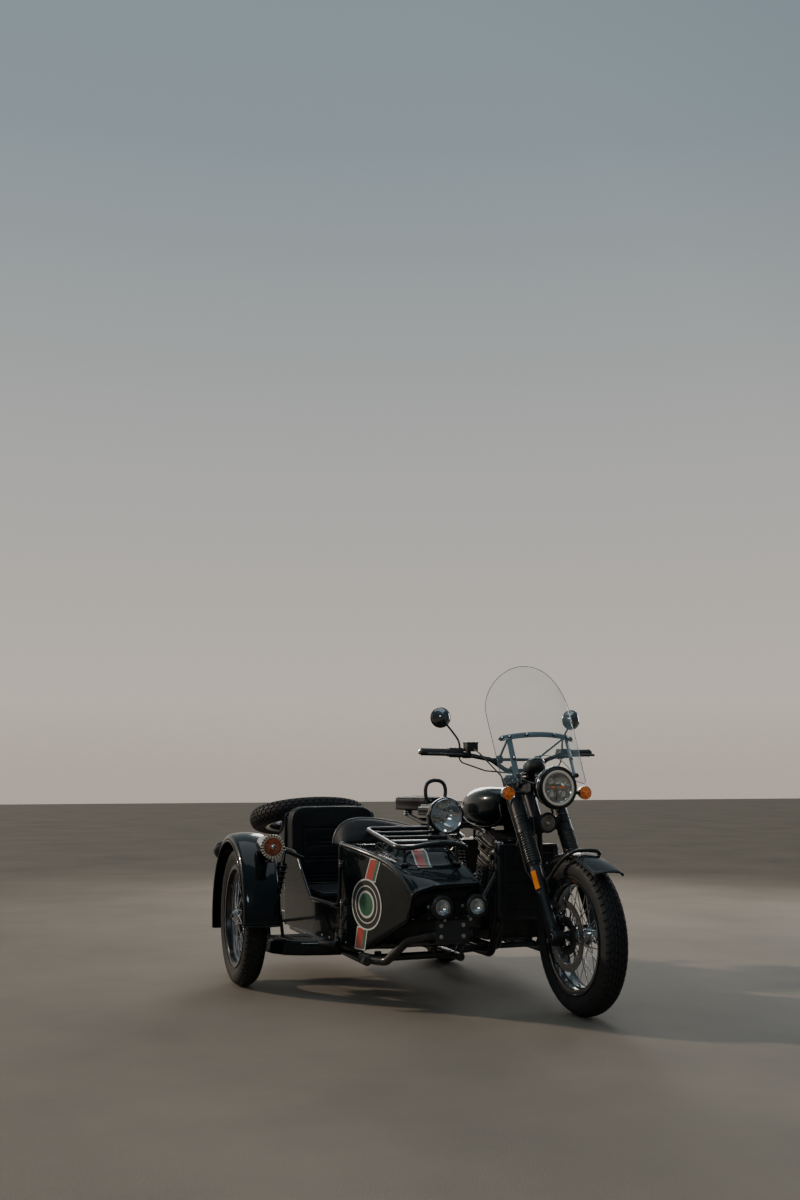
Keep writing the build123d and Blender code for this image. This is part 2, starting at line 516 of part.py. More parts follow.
def nose_z(y):
    pts = [(-1430, 540), (-1400, 566), (-1345, 593), (-1288, 617), (-1139, 660), (-890, 697), (-700, 714)]
    for (a, za), (b, zb) in zip(pts, pts[1:]):
        if a <= y <= b:
            return za + (zb - za) * (y - a) / (b - a)


for x in (-700, -450):
    for y in (-1270, -930):
        rk.append(rod((x, y, nose_z(y) - 6), (x, y, rack_z(y)), 7))
        rk.append(rod((x, y, rack_z(y)), (x + (-42 if x == -700 else 35), y, rack_z(y)), 6))
BODY["rack"] = keep(fuse(rk) - BODY["tub"] - BODY["cowl"], 5000)

# rack lamp
RL = (-385, -1000, 826)
rl_shell = Pos(RL[0], RL[1], RL[2]) * Rot(0, 0, 90) * revolve(make_face(Polyline(
    (0, 0), (0, 76), (5, 87.5), (28, 87.5), (32, 82), (62, 78), (104, 52), (126, 0), close=True)), axis=Axis.X)
BODY["rack_lamp"] = (rl_shell + rod((-385, -950, 760), (-385, -950, 735), 9)
                     + box(-430, -372, -965, -935, 718, 746)) - BODY["rack"]

# nose lamps, four-bolt plate, bumper tube
LAMP_Z = 463.0
px, py, pz = PLATE_C
lamps = [turned([(0, 0), (0, 44), (4, 52), (26, 52), (34, 40), (66, 34), (66, 0)], (x, -1490, LAMP_Z), "y")
         for x in (-607, -449)]
plate = box(px - 75, px + 75, py, py + 7, pz - 42, pz + 42)
for sx in (-1, 1):
    for sz in (-1, 1):
        c = (px + sx * PLATE_PITCH[0] / 2, pz + sz * PLATE_PITCH[1] / 2)
        plate = plate - rod((c[0], py - 10, c[1]), (c[0], py + 20, c[1]), PLATE_HOLE_R)
# lamp posts and side ear of the plate
posts = [rod((-607, py + 3.5, pz + 30), (-607, py + 3.5, LAMP_Z - 46), 7),
         rod((-478, py + 3.5, pz + 36), (-449, py + 3.5, LAMP_Z - 46), 7)]
BODY["nose_plate"] = keep(plate + posts - many(lamps), 1000)
BODY["nose_lamps"] = keep(many(lamps) - BODY["tub"])
saddle_b = box(px - 32, px + 32, py + 7, -1430, 335, 365)
BODY["bumper_tube"] = pipe([(-826, -1055, 205), (-751, -1175, 205), (-689, -1300, 313), (-620, -1436, 348),
                            (-456, -1436, 348)], 19, 55) + saddle_b + rod((-800, -1098, 205), (-800, -1080, 203), 12)
BODY["bumper_tube"] = keep(BODY["bumper_tube"] - BODY["tub"] - BODY["nose_plate"] - BODY["sidecar_frame"])

# step board
STEP = [(-1140, -438), (-878, -828), (-850, -820), (-850, -450), (-1100, -432)]
BODY["step_board"] = keep(plan_plate(STEP, 234, 243) + rod((-1128, -432, 236), (-872, -822, 236), 13) -
                          BODY["tub"] - BODY["sidecar_frame"] - BODY["sidecar_arm"], 200000)

# sidecar mudguard
FX0, FX1 = -1296.0, -1119.0
f_out = [(-752, 325)] + arc_pts(-360, 333, 402, 78, -78, 20) + [(30, 232)]
f_inn = [(-748, 325)] + arc_pts(-360, 333, 398, 78, -78, 20) + [(26, 232)]
guard = band(f_out, f_inn, FX0, FX1)
lip_pts = f_out
lip_in = [(-715, 325)] + arc_pts(-360, 333, 364, 78, -78, 20) + [(-8, 232)]
for x in (FX0, FX1 - 4):
    guard = guard + band(f_out, lip_in, x, x + 4)
stay_f = [rod((-1120, -722, 372), (-1062, -560, 238), 9), rod((-1120, 18, 252), (-895, 18, 252), 9)]
BODY["sidecar_mudguard"] = fuse([guard] + stay_f) - BODY["tub"] - BODY["step_board"]
BODY["mudguard_lamp"] = (turned([(0, 0), (0, 50), (4, 58), (20, 58), (24, 42), (78, 42), (86, 0)],
                                (-1176, -792, 687), "y") + rod((-1176, -735, 650), (-1176, -735, 615), 8)) - \
    BODY["sidecar_mudguard"]
rear_lamp = keep(turned([(0, 0), (0, 38), (10, 47), (26, 47), (34, 36), (50, 20), (50, 0)],
                        (-1243, 30, 625), "y") - BODY["sidecar_mudguard"], 20000)
BODY["mudguard_lamps"] = many([keep(BODY.pop("mudguard_lamp"), 2000), rear_lamp])

# spare wheel on the tail, tilted
SPARE_C = (-680.0, 400.0, 782.0)
TILT = 13.0
SP = Pos(*SPARE_C) * Rot(-TILT, 0, 0) * Rot(0, 90, 0)
BODY["spare_tyre"] = SP * tyre((0, 0, 0), 106)
BODY["spare_rim"] = SP * rim((0, 0, 0), -40, 40, 34)
peg = Pos(*SPARE_C) * Rot(-TILT, 0, 0) * (Pos(0, 0, -16) * Cylinder(AXLE_R, 140) + Pos(0, 0, 50) * Cylinder(26, 16)
                                          + Pos(0, 0, -60) * Cylinder(70, 34) + Pos(0, 0, -120) * Cylinder(44, 130))
BODY["spare_carrier"] = keep(peg - BODY["tub"] - BODY["spare_rim"])

# ---- shift and write -------------------------------------------------------
boxes = [s.bounding_box() for s in BODY.values()]
lo = [min(b.min.X for b in boxes), min(b.min.Y for b in boxes), min(b.min.Z for b in boxes)]
hi = [max(b.max.X for b in boxes), max(b.max.Y for b in boxes), max(b.max.Z for b in boxes)]
shift = (-(lo[0] + hi[0]) / 2, -(lo[1] + hi[1]) / 2, -lo[2])
print("extent", [round(b - a, 1) for a, b in zip(lo, hi)], "shift", [round(v, 3) for v in shift])
for name, shape in BODY.items():
    solids = shape.solids()
    moved = [Pos(*shift) * s for s in solids]
    out_shape = moved[0] if len(moved) == 1 else Compound(children=moved)
    export_step(out_shape, f"parts/{name}.step")
print(len(BODY), "nodes")
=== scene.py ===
import bpy
import bmesh
import math
import numpy as np
from mathutils import Vector, Matrix


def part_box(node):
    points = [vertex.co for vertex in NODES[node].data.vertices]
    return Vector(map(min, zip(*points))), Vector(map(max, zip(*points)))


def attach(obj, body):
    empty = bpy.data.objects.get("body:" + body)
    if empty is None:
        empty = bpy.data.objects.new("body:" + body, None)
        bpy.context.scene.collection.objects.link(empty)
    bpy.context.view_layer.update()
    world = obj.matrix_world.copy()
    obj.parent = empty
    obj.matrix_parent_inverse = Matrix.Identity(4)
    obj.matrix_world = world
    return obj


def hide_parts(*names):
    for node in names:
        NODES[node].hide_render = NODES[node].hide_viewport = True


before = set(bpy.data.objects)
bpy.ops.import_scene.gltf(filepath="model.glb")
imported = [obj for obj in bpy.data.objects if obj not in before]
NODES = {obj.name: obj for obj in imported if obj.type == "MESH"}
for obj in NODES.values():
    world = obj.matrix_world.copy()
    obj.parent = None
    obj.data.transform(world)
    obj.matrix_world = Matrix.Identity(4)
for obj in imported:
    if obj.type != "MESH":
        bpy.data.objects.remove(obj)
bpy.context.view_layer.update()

# ------------------------------------------------------------------ places
# Lengths below are millimetres in the motorcycle's own axes: x to the rider's
# left, y to the rear, z up, origin on the ground under the rear axle.
_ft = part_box("front_tyre")
OX = (_ft[0].x + _ft[1].x) / 2 * 1000
OY = (_ft[0].y + _ft[1].y) / 2 * 1000 + 1570.0
RAKE = math.radians(32.5)
AXIS_FOOT = np.array([0.0, -1468.7, 333.0])
W_AX = np.array([0.0, math.sin(RAKE), math.cos(RAKE)])      # up the steering axis
B_AX = np.array([0.0, math.cos(RAKE), -math.sin(RAKE)])     # back, across it
FRONT_AXLE = (0.0, -1570.0, 333.0)
REAR_AXLE = (0.0, 0.0, 333.0)
SIDE_AXLE = (-1215.0, -360.0, 333.0)


def M(p):
    return ((p[0] + OX) / 1000.0, (p[1] + OY) / 1000.0, p[2] / 1000.0)


def fork_pt(x, b, w):
    """x across, b back from the steering axis, w up along it"""
    q = AXIS_FOOT + B_AX * b + W_AX * w
    return (x, q[1], q[2])


# --------------------------------------------------------------- materials
MATS = {}


def _noise(nt, scale, detail=4.0, rough=0.5, vec=None, loc=(0, 0)):
    n = nt.nodes.new("ShaderNodeTexNoise")
    n.inputs["Scale"].default_value = scale
    n.inputs["Detail"].default_value = detail
    n.inputs["Roughness"].default_value = rough
    if vec is not None:
        nt.links.new(vec, n.inputs["Vector"])
    return n


def _range(nt, src, a, b, lo=0.3, hi=0.7):
    m = nt.nodes.new("ShaderNodeMapRange")
    m.inputs["From Min"].default_value = lo
    m.inputs["From Max"].default_value = hi
    m.inputs["To Min"].default_value = a
    m.inputs["To Max"].default_value = b
    nt.links.new(src, m.inputs["Value"])
    return m.outputs["Result"]


def _mix(nt, fac, a, b):
    m = nt.nodes.new("ShaderNodeMix")
    m.data_type = "RGBA"
    if isinstance(fac, float):
        m.inputs[0].default_value = fac
    else:
        nt.links.new(fac, m.inputs[0])
    for sock, v in ((m.inputs[6], a), (m.inputs[7], b)):
        if isinstance(v, tuple):
            sock.default_value = (v[0], v[1], v[2], 1)
        else:
            nt.links.new(v, sock)
    return m.outputs[2]


def _math(nt, op, a, b=None, c=None):
    m = nt.nodes.new("ShaderNodeMath")
    m.operation = op
    for i, v in enumerate((a, b, c)):
        if v is None:
            continue
        if isinstance(v, (int, float)):
            m.inputs[i].default_value = v
        else:
            nt.links.new(v, m.inputs[i])
    return m.outputs[0]


def surface(name, color, metallic=0.0, rough=(0.3, 0.45), vary=None, vary_scale=18.0, rough_scale=60.0,
            bump=0.0, bump_scale=900.0, bump_kind="noise", coat=0.0, coat_rough=0.03, dust=0.0, dust_color=(0.32, 0.27, 0.2),
            sheen=0.0, spec=0.5, emit=None, streak=False, low_dirt=0.0):
    """a procedural paint, metal, rubber, leather or plastic"""
    mat = bpy.data.materials.new(name)
    mat.use_nodes = True
    nt = mat.node_tree
    bs = nt.nodes["Principled BSDF"]
    tc = nt.nodes.new("ShaderNodeTexCoord")
    vec = tc.outputs["Object"]
    if streak:
        mp = nt.nodes.new("ShaderNodeMapping")
        mp.inputs["Scale"].default_value = (1.0, 1.0, 14.0)
        nt.links.new(vec, mp.inputs["Vector"])
        vec2 = mp.outputs["Vector"]
    else:
        vec2 = vec
    col = None
    n1 = _noise(nt, vary_scale, 6.0, 0.6, vec)
    if vary is None:
        vary = tuple(min(1.0, c * 1.35 + 0.004) for c in color)
    col = _mix(nt, _range(nt, n1.outputs["Fac"], 0.0, 1.0), color, vary)
    if dust > 0 or low_dirt > 0:
        geo = nt.nodes.new("ShaderNodeNewGeometry")
        sep = nt.nodes.new("ShaderNodeSeparateXYZ")
        nt.links.new(geo.outputs["Normal"], sep.inputs[0])
        n3 = _noise(nt, 30.0, 8.0, 0.7, vec)
        fac = None
        if dust > 0:
            up = _range(nt, sep.outputs["Z"], 0.0, 1.0, 0.0, 1.0)
            fac = _math(nt, "MULTIPLY", _math(nt, "MULTIPLY", up, _range(nt, n3.outputs["Fac"], 0.0, 1.0, 0.35, 0.75)), dust)
        if low_dirt > 0:
            pos = nt.nodes.new("ShaderNodeSeparateXYZ")
            nt.links.new(vec, pos.inputs[0])
            low = _range(nt, pos.outputs["Z"], 1.0, 0.0, 0.0, 0.55)
            f2 = _math(nt, "MULTIPLY", _math(nt, "MULTIPLY", low, _range(nt, n3.outputs["Fac"], 0.15, 1.0, 0.35, 0.7)), low_dirt)
            fac = f2 if fac is None else _math(nt, "MAXIMUM", fac, f2)
        col = _mix(nt, fac, col, dust_color)
    nt.links.new(col, bs.inputs["Base Color"])
    bs.inputs["Metallic"].default_value = metallic
    n2 = _noise(nt, rough_scale, 5.0, 0.55, vec2)
    nt.links.new(_range(nt, n2.outputs["Fac"], rough[0], rough[1]), bs.inputs["Roughness"])
    bs.inputs["Specular IOR Level"].default_value = spec
    if coat:
        bs.inputs["Coat Weight"].default_value = coat
        bs.inputs["Coat Roughness"].default_value = coat_rough
    if sheen:
        bs.inputs["Sheen Weight"].default_value = sheen
        bs.inputs["Sheen Roughness"].default_value = 0.4
    if emit:
        bs.inputs["Emission Color"].default_value = (*emit[0], 1)
        bs.inputs["Emission Strength"].default_value = emit[1]
    if bump:
        b = nt.nodes.new("ShaderNodeBump")
        b.inputs["Strength"].default_value = 1.0
        b.inputs["Distance"].default_value = bump / 1000.0
        if bump_kind == "leather":
            v = nt.nodes.new("ShaderNodeTexVoronoi")
            v.inputs["Scale"].default_value = bump_scale
            v.feature = "DISTANCE_TO_EDGE"
            nt.links.new(vec, v.inputs["Vector"])
            h = _math(nt, "POWER", _math(nt, "MINIMUM", v.outputs["Distance"], 0.12), 0.6)
            n4 = _noise(nt, bump_scale * 0.35, 6.0, 0.6, vec)
            h = _math(nt, "ADD", _math(nt, "MULTIPLY", h, 2.0), n4.outputs["Fac"])
            nt.links.new(h, b.inputs["Height"])
        elif bump_kind == "cast":
            n4 = _noise(nt, bump_scale, 8.0, 0.75, vec)
            nt.links.new(n4.outputs["Fac"], b.inputs["Height"])
        elif bump_kind == "brush":
            mp = nt.nodes.new("ShaderNodeMapping")
            mp.inputs["Scale"].default_value = (30.0, 1.0, 1.0)
            nt.links.new(vec, mp.inputs["Vector"])
            n4 = _noise(nt, bump_scale, 3.0, 0.6, mp.outputs["Vector"])
            nt.links.new(n4.outputs["Fac"], b.inputs["Height"])
        else:
            n4 = _noise(nt, bump_scale, 3.0, 0.5, vec)
            nt.links.new(n4.outputs["Fac"], b.inputs["Height"])
        nt.links.new(b.outputs["Normal"], bs.inputs["Normal"])
    MATS[name] = mat
    return mat


def clear(name, color, rough=0.02, ior=1.49, alpha=0.12, bump=0.0):
    """thin clear or tinted sheet: mostly see-through, with a sharp reflection and faint haze"""
    mat = bpy.data.materials.new(name)
    mat.use_nodes = True
    nt = mat.node_tree
    bs = nt.nodes["Principled BSDF"]
    bs.inputs["Base Color"].default_value = (*color, 1)
    bs.inputs["IOR"].default_value = ior
    bs.inputs["Metallic"].default_value = 0.0
    tc = nt.nodes.new("ShaderNodeTexCoord")
    n = _noise(nt, 9.0, 6.0, 0.6, tc.outputs["Object"])
    nt.links.new(_range(nt, n.outputs["Fac"], rough, rough + 0.05), bs.inputs["Roughness"])
    lw = nt.nodes.new("ShaderNodeLayerWeight")
    lw.inputs["Blend"].default_value = 0.5
    edge_on = _math(nt, "POWER", lw.outputs["Facing"], 3.2)
    a = _math(nt, "ADD", _math(nt, "MULTIPLY", edge_on, 0.5), _range(nt, n.outputs["Fac"], alpha * 0.7, alpha * 1.3))
    nt.links.new(a, bs.inputs["Alpha"])
    MATS[name] = mat
    return mat


def lens(name, color, rough=0.05, ior=1.5, ribs=0.0, emit=0.0, trans=0.9, facets=0.0):
    """moulded lamp lens with ribs"""
    mat = bpy.data.materials.new(name)
    mat.use_nodes = True
    nt = mat.node_tree
    bs = nt.nodes["Principled BSDF"]
    tc = nt.nodes.new("ShaderNodeTexCoord")
    n = _noise(nt, 120.0, 3.0, 0.5, tc.outputs["Object"])
    dark = tuple(c * 0.72 for c in color)
    fac = _range(nt, n.outputs["Fac"], 0.0, 1.0)
    if facets:
        vo = nt.nodes.new("ShaderNodeTexVoronoi")
        vo.inputs["Scale"].default_value = facets
        nt.links.new(tc.outputs["Object"], vo.inputs["Vector"])
        sp3 = nt.nodes.new("ShaderNodeSeparateXYZ")
        nt.links.new(vo.outputs["Color"], sp3.inputs[0])
        fac = sp3.outputs["X"]
        dark = tuple(c * 0.28 for c in color)
    nt.links.new(_mix(nt, fac, color, dark), bs.inputs["Base Color"])
    bs.inputs["Roughness"].default_value = rough
    bs.inputs["IOR"].default_value = ior
    bs.inputs["Transmission Weight"].default_value = trans
    if emit:
        if facets:
            nt.links.new(_mix(nt, fac, color, dark), bs.inputs["Emission Color"])
        else:
            bs.inputs["Emission Color"].default_value = (*color, 1)
        bs.inputs["Emission Strength"].default_value = emit
    if ribs:
        w = nt.nodes.new("ShaderNodeTexWave")
        w.inputs["Scale"].default_value = ribs
        w.bands_direction = "Z"
        nt.links.new(tc.outputs["Object"], w.inputs["Vector"])
        b = nt.nodes.new("ShaderNodeBump")
        b.inputs["Distance"].default_value = 0.0012
        nt.links.new(w.outputs["Fac"], b.inputs["Height"])
        nt.links.new(b.outputs["Normal"], bs.inputs["Normal"])
    MATS[name] = mat
    return mat


surface("gloss_black", (0.002, 0.0045, 0.0055), 0.0, (0.20, 0.30), vary=(0.0035, 0.0065, 0.008), bump=0.006, bump_scale=1400, spec=0.06,
        coat=0.55, coat_rough=0.03, dust=0.02, low_dirt=0.02, dust_color=(0.17, 0.18, 0.17))
surface("satin_black", (0.008, 0.009, 0.011), 0.0, (0.36, 0.52), vary=(0.015, 0.017, 0.019), bump=0.05, bump_scale=1600,
        spec=0.35, coat=0.2, coat_rough=0.25, dust=0.05, low_dirt=0.10)
surface("frame_black", (0.008, 0.009, 0.011), 0.0, (0.30, 0.44), vary=(0.013, 0.014, 0.017), bump=0.03, bump_scale=1200,
        spec=0.3, coat=0.4, coat_rough=0.12, dust=0.05, low_dirt=0.10)
surface("chrome", (0.62, 0.62, 0.63), 1.0, (0.06, 0.16), vary=(0.5, 0.5, 0.5), rough_scale=35, bump=0.01, bump_scale=500,
        low_dirt=0.14, dust_color=(0.2, 0.16, 0.12))
surface("dark_chrome", (0.20, 0.21, 0.22), 1.0, (0.04, 0.10), vary=(0.15, 0.16, 0.17), rough_scale=35, bump=0.006, bump_scale=500)
surface("gaiter", (0.010, 0.010, 0.011), 0.0, (0.30, 0.42), vary=(0.016, 0.016, 0.017), bump=0.03, bump_scale=1500, coat=0.5,
        coat_rough=0.18, dust=0.08)
surface("steel", (0.50, 0.50, 0.51), 1.0, (0.22, 0.38), vary=(0.40, 0.40, 0.41), rough_scale=90, bump=0.03, bump_scale=700,
        low_dirt=0.18)
surface("alloy", (0.42, 0.42, 0.42), 1.0, (0.38, 0.55), vary=(0.30, 0.30, 0.30), rough_scale=80, bump=0.12, bump_scale=1500,
        bump_kind="cast", dust=0.12, low_dirt=0.2)
# bright warm alloy of the fin edges: machined metal, lightened and warmed as a painted highlight of sun on the edges
surface("fin_edge_highlight", (0.80, 0.77, 0.71), 1.0, (0.26, 0.40), vary=(0.68, 0.65, 0.60), rough_scale=90, bump=0.03, bump_scale=700, low_dirt=0.1)
surface("dark_alloy", (0.045, 0.047, 0.05), 0.6, (0.38, 0.55), vary=(0.03, 0.03, 0.034), rough_scale=80, bump=0.14,
        bump_scale=1500, bump_kind="cast", dust=0.16, low_dirt=0.25)
surface("ground_steel", (0.46, 0.46, 0.46), 1.0, (0.24, 0.36), vary=(0.38, 0.37, 0.36), rough_scale=200, bump=0.05,
        bump_scale=400, bump_kind="brush", low_dirt=0.1)
surface("tyre", (0.011, 0.0115, 0.0125), 0.0, (0.6, 0.8), vary=(0.019, 0.019, 0.019), vary_scale=30, bump=0.12, bump_scale=1800,
        spec=0.3, dust=0.0, low_dirt=0.14, dust_color=(0.10, 0.085, 0.066))
surface("rubber", (0.014, 0.014, 0.015), 0.0, (0.5, 0.7), vary=(0.024, 0.024, 0.025), bump=0.08, bump_scale=1500, dust=0.15)
surface("leather", (0.009, 0.010, 0.012), 0.0, (0.46, 0.62), vary=(0.014, 0.015, 0.017), bump=0.22, bump_scale=420,
        bump_kind="leather", sheen=0.02, spec=0.14, dust=0.03)
surface("vinyl", (0.007, 0.008, 0.010), 0.0, (0.5, 0.64), vary=(0.011, 0.012, 0.014), bump=0.12, bump_scale=700,
        bump_kind="leather", spec=0.18, dust=0.02)
# piping is lighter grey than the leather: partly a painted highlight along the seat and cowl edges
surface("piping_painted_highlight", (0.05, 0.052, 0.056), 0.0, (0.35, 0.5), vary=(0.08, 0.08, 0.084), bump=0.06, bump_scale=1500, dust=0.1)
surface("black_plastic", (0.014, 0.014, 0.015), 0.0, (0.4, 0.55), vary=(0.02, 0.02, 0.021), bump=0.06, bump_scale=2200,
        bump_kind="cast", dust=0.14)
surface("bracket_blue", (0.075, 0.115, 0.145), 0.35, (0.30, 0.42), vary=(0.10, 0.15, 0.18), bump=0.03, bump_scale=1400,
        coat=0.3, coat_rough=0.15, dust=0.1)
surface("reflector_cup", (0.75, 0.75, 0.74), 1.0, (0.05, 0.12), vary=(0.7, 0.7, 0.7), rough_scale=120, bump=0.02, bump_scale=300)
surface("lamp_silver", (0.86, 0.80, 0.70), 0.6, (0.14, 0.26), vary=(0.74, 0.69, 0.60), rough_scale=120, bump=0.02, bump_scale=300,
        spec=0.7)
surface("radiator_core", (0.02, 0.02, 0.021), 0.5, (0.45, 0.6), vary=(0.035, 0.035, 0.035), bump=0.2, bump_scale=2500,
        dust=0.15, low_dirt=0.2)
surface("white_paint", (0.62, 0.60, 0.56), 0.0, (0.25, 0.38), vary=(0.55, 0.53, 0.49), bump=0.01, bump_scale=900, coat=0.5,
        coat_rough=0.08, dust=0.1)
surface("cream_paint", (0.60, 0.52, 0.40), 0.0, (0.25, 0.38), vary=(0.52, 0.45, 0.34), bump=0.01, bump_scale=900, coat=0.5,
        coat_rough=0.08, dust=0.1)
surface("red_paint", (0.42, 0.035, 0.022), 0.0, (0.25, 0.38), vary=(0.34, 0.028, 0.018), bump=0.01, bump_scale=900, coat=0.5,
        coat_rough=0.08, dust=0.1)
surface("green_paint", (0.02, 0.11, 0.055), 0.0, (0.25, 0.38), vary=(0.016, 0.085, 0.045), bump=0.01, bump_scale=900, coat=0.5,
        coat_rough=0.08, dust=0.1)
surface("plate", (0.55, 0.54, 0.50), 0.0, (0.3, 0.45), vary=(0.48, 0.47, 0.43), bump=0.02, bump_scale=800, dust=0.2)
surface("dial_face", (0.02, 0.02, 0.022), 0.0, (0.35, 0.5), vary=(0.03, 0.03, 0.032), bump=0.01, bump_scale=900)
surface("led_core", (0.74, 0.65, 0.54), 0.0, (0.3, 0.4), vary=(0.66, 0.58, 0.48), emit=((1.0, 0.88, 0.72), 0.05), bump=0.01)
surface("carpet", (0.018, 0.018, 0.019), 0.0, (0.85, 0.95), vary=(0.03, 0.03, 0.03), bump=0.9, bump_scale=700, dust=0.2)
surface("fork_tube", (0.30, 0.30, 0.31), 1.0, (0.14, 0.26), vary=(0.25, 0.25, 0.25), rough_scale=90, bump=0.02, bump_scale=600)
clear("screen", (0.50, 0.64, 0.66), 0.015, 1.49, 0.07)
clear("screen_edge", (0.10, 0.13, 0.14), 0.10, 1.49, 0.55)
clear("glass", (0.9, 0.93, 0.95), 0.01, 1.5, 0.06)
lens("amber", (1.0, 0.24, 0.02), 0.08, ribs=170.0, trans=0.3, emit=0.16, facets=95.0)
lens("amber_deep", (0.50, 0.085, 0.018), 0.1, ribs=120.0, trans=0.3, emit=0.03, facets=80.0)
# the side reflectors' lens glows although it is no lamp: a painted glow for the light it reflects
lens("reflex_painted_glow", (1.0, 0.27, 0.015), 0.08, ribs=240.0, trans=0.3, emit=0.2)
lens("red_lens", (0.55, 0.01, 0.01), 0.1, ribs=45.0, trans=0.4)
lens("clear_lens", (0.92, 0.94, 0.95), 0.03, trans=0.95)

CAD_LOOK = {
    "gloss_black": "cowl side_covers headlight",
    "frame_black": "frame_spine frame_cradle sidecar_frame sidecar_struts swing_arm sidecar_arm bumper_tube rack grab_handle "
                   "lamp_brackets",
    "satin_black": "exhausts yokes fork_legs step_board spare_carrier nose_plate levers handlebar mirrors door_trim rear_shocks "
                   "nose_lamps rack_lamp mudguard_lamps number_plate",
    "dark_alloy": "engine_case front_caliper",
    "alloy": "engine_cylinders",
    "radiator_core": "radiator",
    "chrome": "front_rim rear_rim sidecar_rim spare_rim",
    "ground_steel": "front_disc",
    "tyre": "front_tyre rear_tyre sidecar_tyre spare_tyre",
    "leather": "rider_saddle pillion_saddle sidecar_cushion sidecar_backrest",
    "bracket_blue": "screen_bracket",
    "rubber": "grips brake_hose switch_looms",
    "amber": "front_signals",
    "screen": "windscreen",
    "red_lens": "tail_lamp",
    "black_plastic": "instrument",
}
for look, names in CAD_LOOK.items():
    for n in names.split():
        if n in NODES:
            o = NODES[n]
            o.data.materials.clear()
            o.data.materials.append(MATS[look])
for n, o in NODES.items():
    if n not in " ".join(CAD_LOOK.values()).split():
        o.data.materials.clear()
        o.data.materials.append(MATS["gloss_black"])


# ----------------------------------------------------------- mesh builders
def make(name, verts, faces, mat, body, smooth=True, mats=None, face_mats=None):
    me = bpy.data.meshes.new(name)
    me.from_pydata([M(v) for v in verts], [], [tuple(f) for f in faces])
    me.validate()
    ob = bpy.data.objects.new(name, me)
    bpy.context.scene.collection.objects.link(ob)
    for m in (mats or [mat]):
        me.materials.append(MATS[m])
    if face_mats is not None:
        me.polygons.foreach_set("material_index", np.array(face_mats, dtype=np.int32))
    if smooth:
        me.polygons.foreach_set("use_smooth", np.ones(len(me.polygons), dtype=bool))
    me.update()
    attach(ob, body)
    return ob


def fix_normals(ob):
    bm = bmesh.new()
    bm.from_mesh(ob.data)
    bmesh.ops.recalc_face_normals(bm, faces=bm.faces)
    bm.to_mesh(ob.data)
    bm.free()
    ob.data.update()
    return ob


def grid_faces(nu, nv, close_u=False, close_v=False, base=0):
    out = []
    for i in range(nu if close_u else nu - 1):
        for j in range(nv if close_v else nv - 1):
            a = i * nv + j
            b = i * nv + (j + 1) % nv
            c = ((i + 1) % nu) * nv + (j + 1) % nv
            d = ((i + 1) % nu) * nv + j
            out.append((base + a, base + b, base + c, base + d))
    return out


def grid(name, rows, mat, body, close_u=False, close_v=False, thick=0.0, offset=-1.0, caps=False, bevel=0.0, even=True):
    """a surface through rows of points; rows all have the same length"""
    nu, nv = len(rows), len(rows[0])
    verts = [p for r in rows for p in r]
    faces = grid_faces(nu, nv, close_u, close_v)
    if caps and close_v:
        faces.append(tuple(range(nv - 1, -1, -1)))
        faces.append(tuple((nu - 1) * nv + j for j in range(nv)))
    ob = make(name, verts, faces, mat, body)
    fix_normals(ob)
    if thick:
        m = ob.modifiers.new("thick", "SOLIDIFY")
        m.thickness = thick / 1000.0
        m.offset = offset
        m.use_even_offset = even
    if bevel:
        soften(ob, bevel)
    return ob


def soften(ob, width, segments=3, angle=35.0):
    m = ob.modifiers.new("edge", "BEVEL")
    m.width = width / 1000.0
    m.segments = segments
    m.limit_method = "ANGLE"
    m.angle_limit = math.radians(angle)
    m.harden_normals = False
    return ob


def auto_smooth(ob, angle=35.0):
    """smooth shading that keeps sharp corners"""
    me = ob.data
    me.polygons.foreach_set("use_smooth", np.ones(len(me.polygons), dtype=bool))
    bm = bmesh.new()
    bm.from_mesh(me)
    lim = math.radians(angle)
    for e in bm.edges:
        if len(e.link_faces) == 2:
            e.smooth = e.calc_face_angle(0.0) < lim
    bm.to_mesh(me)
    bm.free()
    me.update()
    return ob


def catmull(pts, n=8, closed=False):
    """smooth curve through the points"""
    P = [np.array(p, float) for p in pts]
    out = []
    m = len(P)
    segs = m if closed else m - 1
    for i in range(segs):
        p1, p2 = P[i], P[(i + 1) % m]
        p0 = P[i - 1] if (i > 0 or closed) else 2 * p1 - p2
        p3 = P[(i + 2) % m] if (i + 2 < m or closed) else 2 * p2 - p1
        # centripetal parameters
        t0 = 0.0
        t1 = t0 + max(np.linalg.norm(p1 - p0), 1e-6) ** 0.5
        t2 = t1 + max(np.linalg.norm(p2 - p1), 1e-6) ** 0.5
        t3 = t2 + max(np.linalg.norm(p3 - p2), 1e-6) ** 0.5
        for k in range(n):
            t = t1 + (t2 - t1) * k / n
            a1 = (t1 - t) / (t1 - t0) * p0 + (t - t0) / (t1 - t0) * p1
            a2 = (t2 - t) / (t2 - t1) * p1 + (t - t1) / (t2 - t1) * p2
            a3 = (t3 - t) / (t3 - t2) * p2 + (t - t2) / (t3 - t2) * p3
            b1 = (t2 - t) / (t2 - t0) * a1 + (t - t0) / (t2 - t0) * a2
            b2 = (t3 - t) / (t3 - t1) * a2 + (t - t1) / (t3 - t1) * a3
            out.append((t2 - t) / (t2 - t1) * b1 + (t - t1) / (t2 - t1) * b2)
    if not closed:
        out.append(P[-1])
    return out


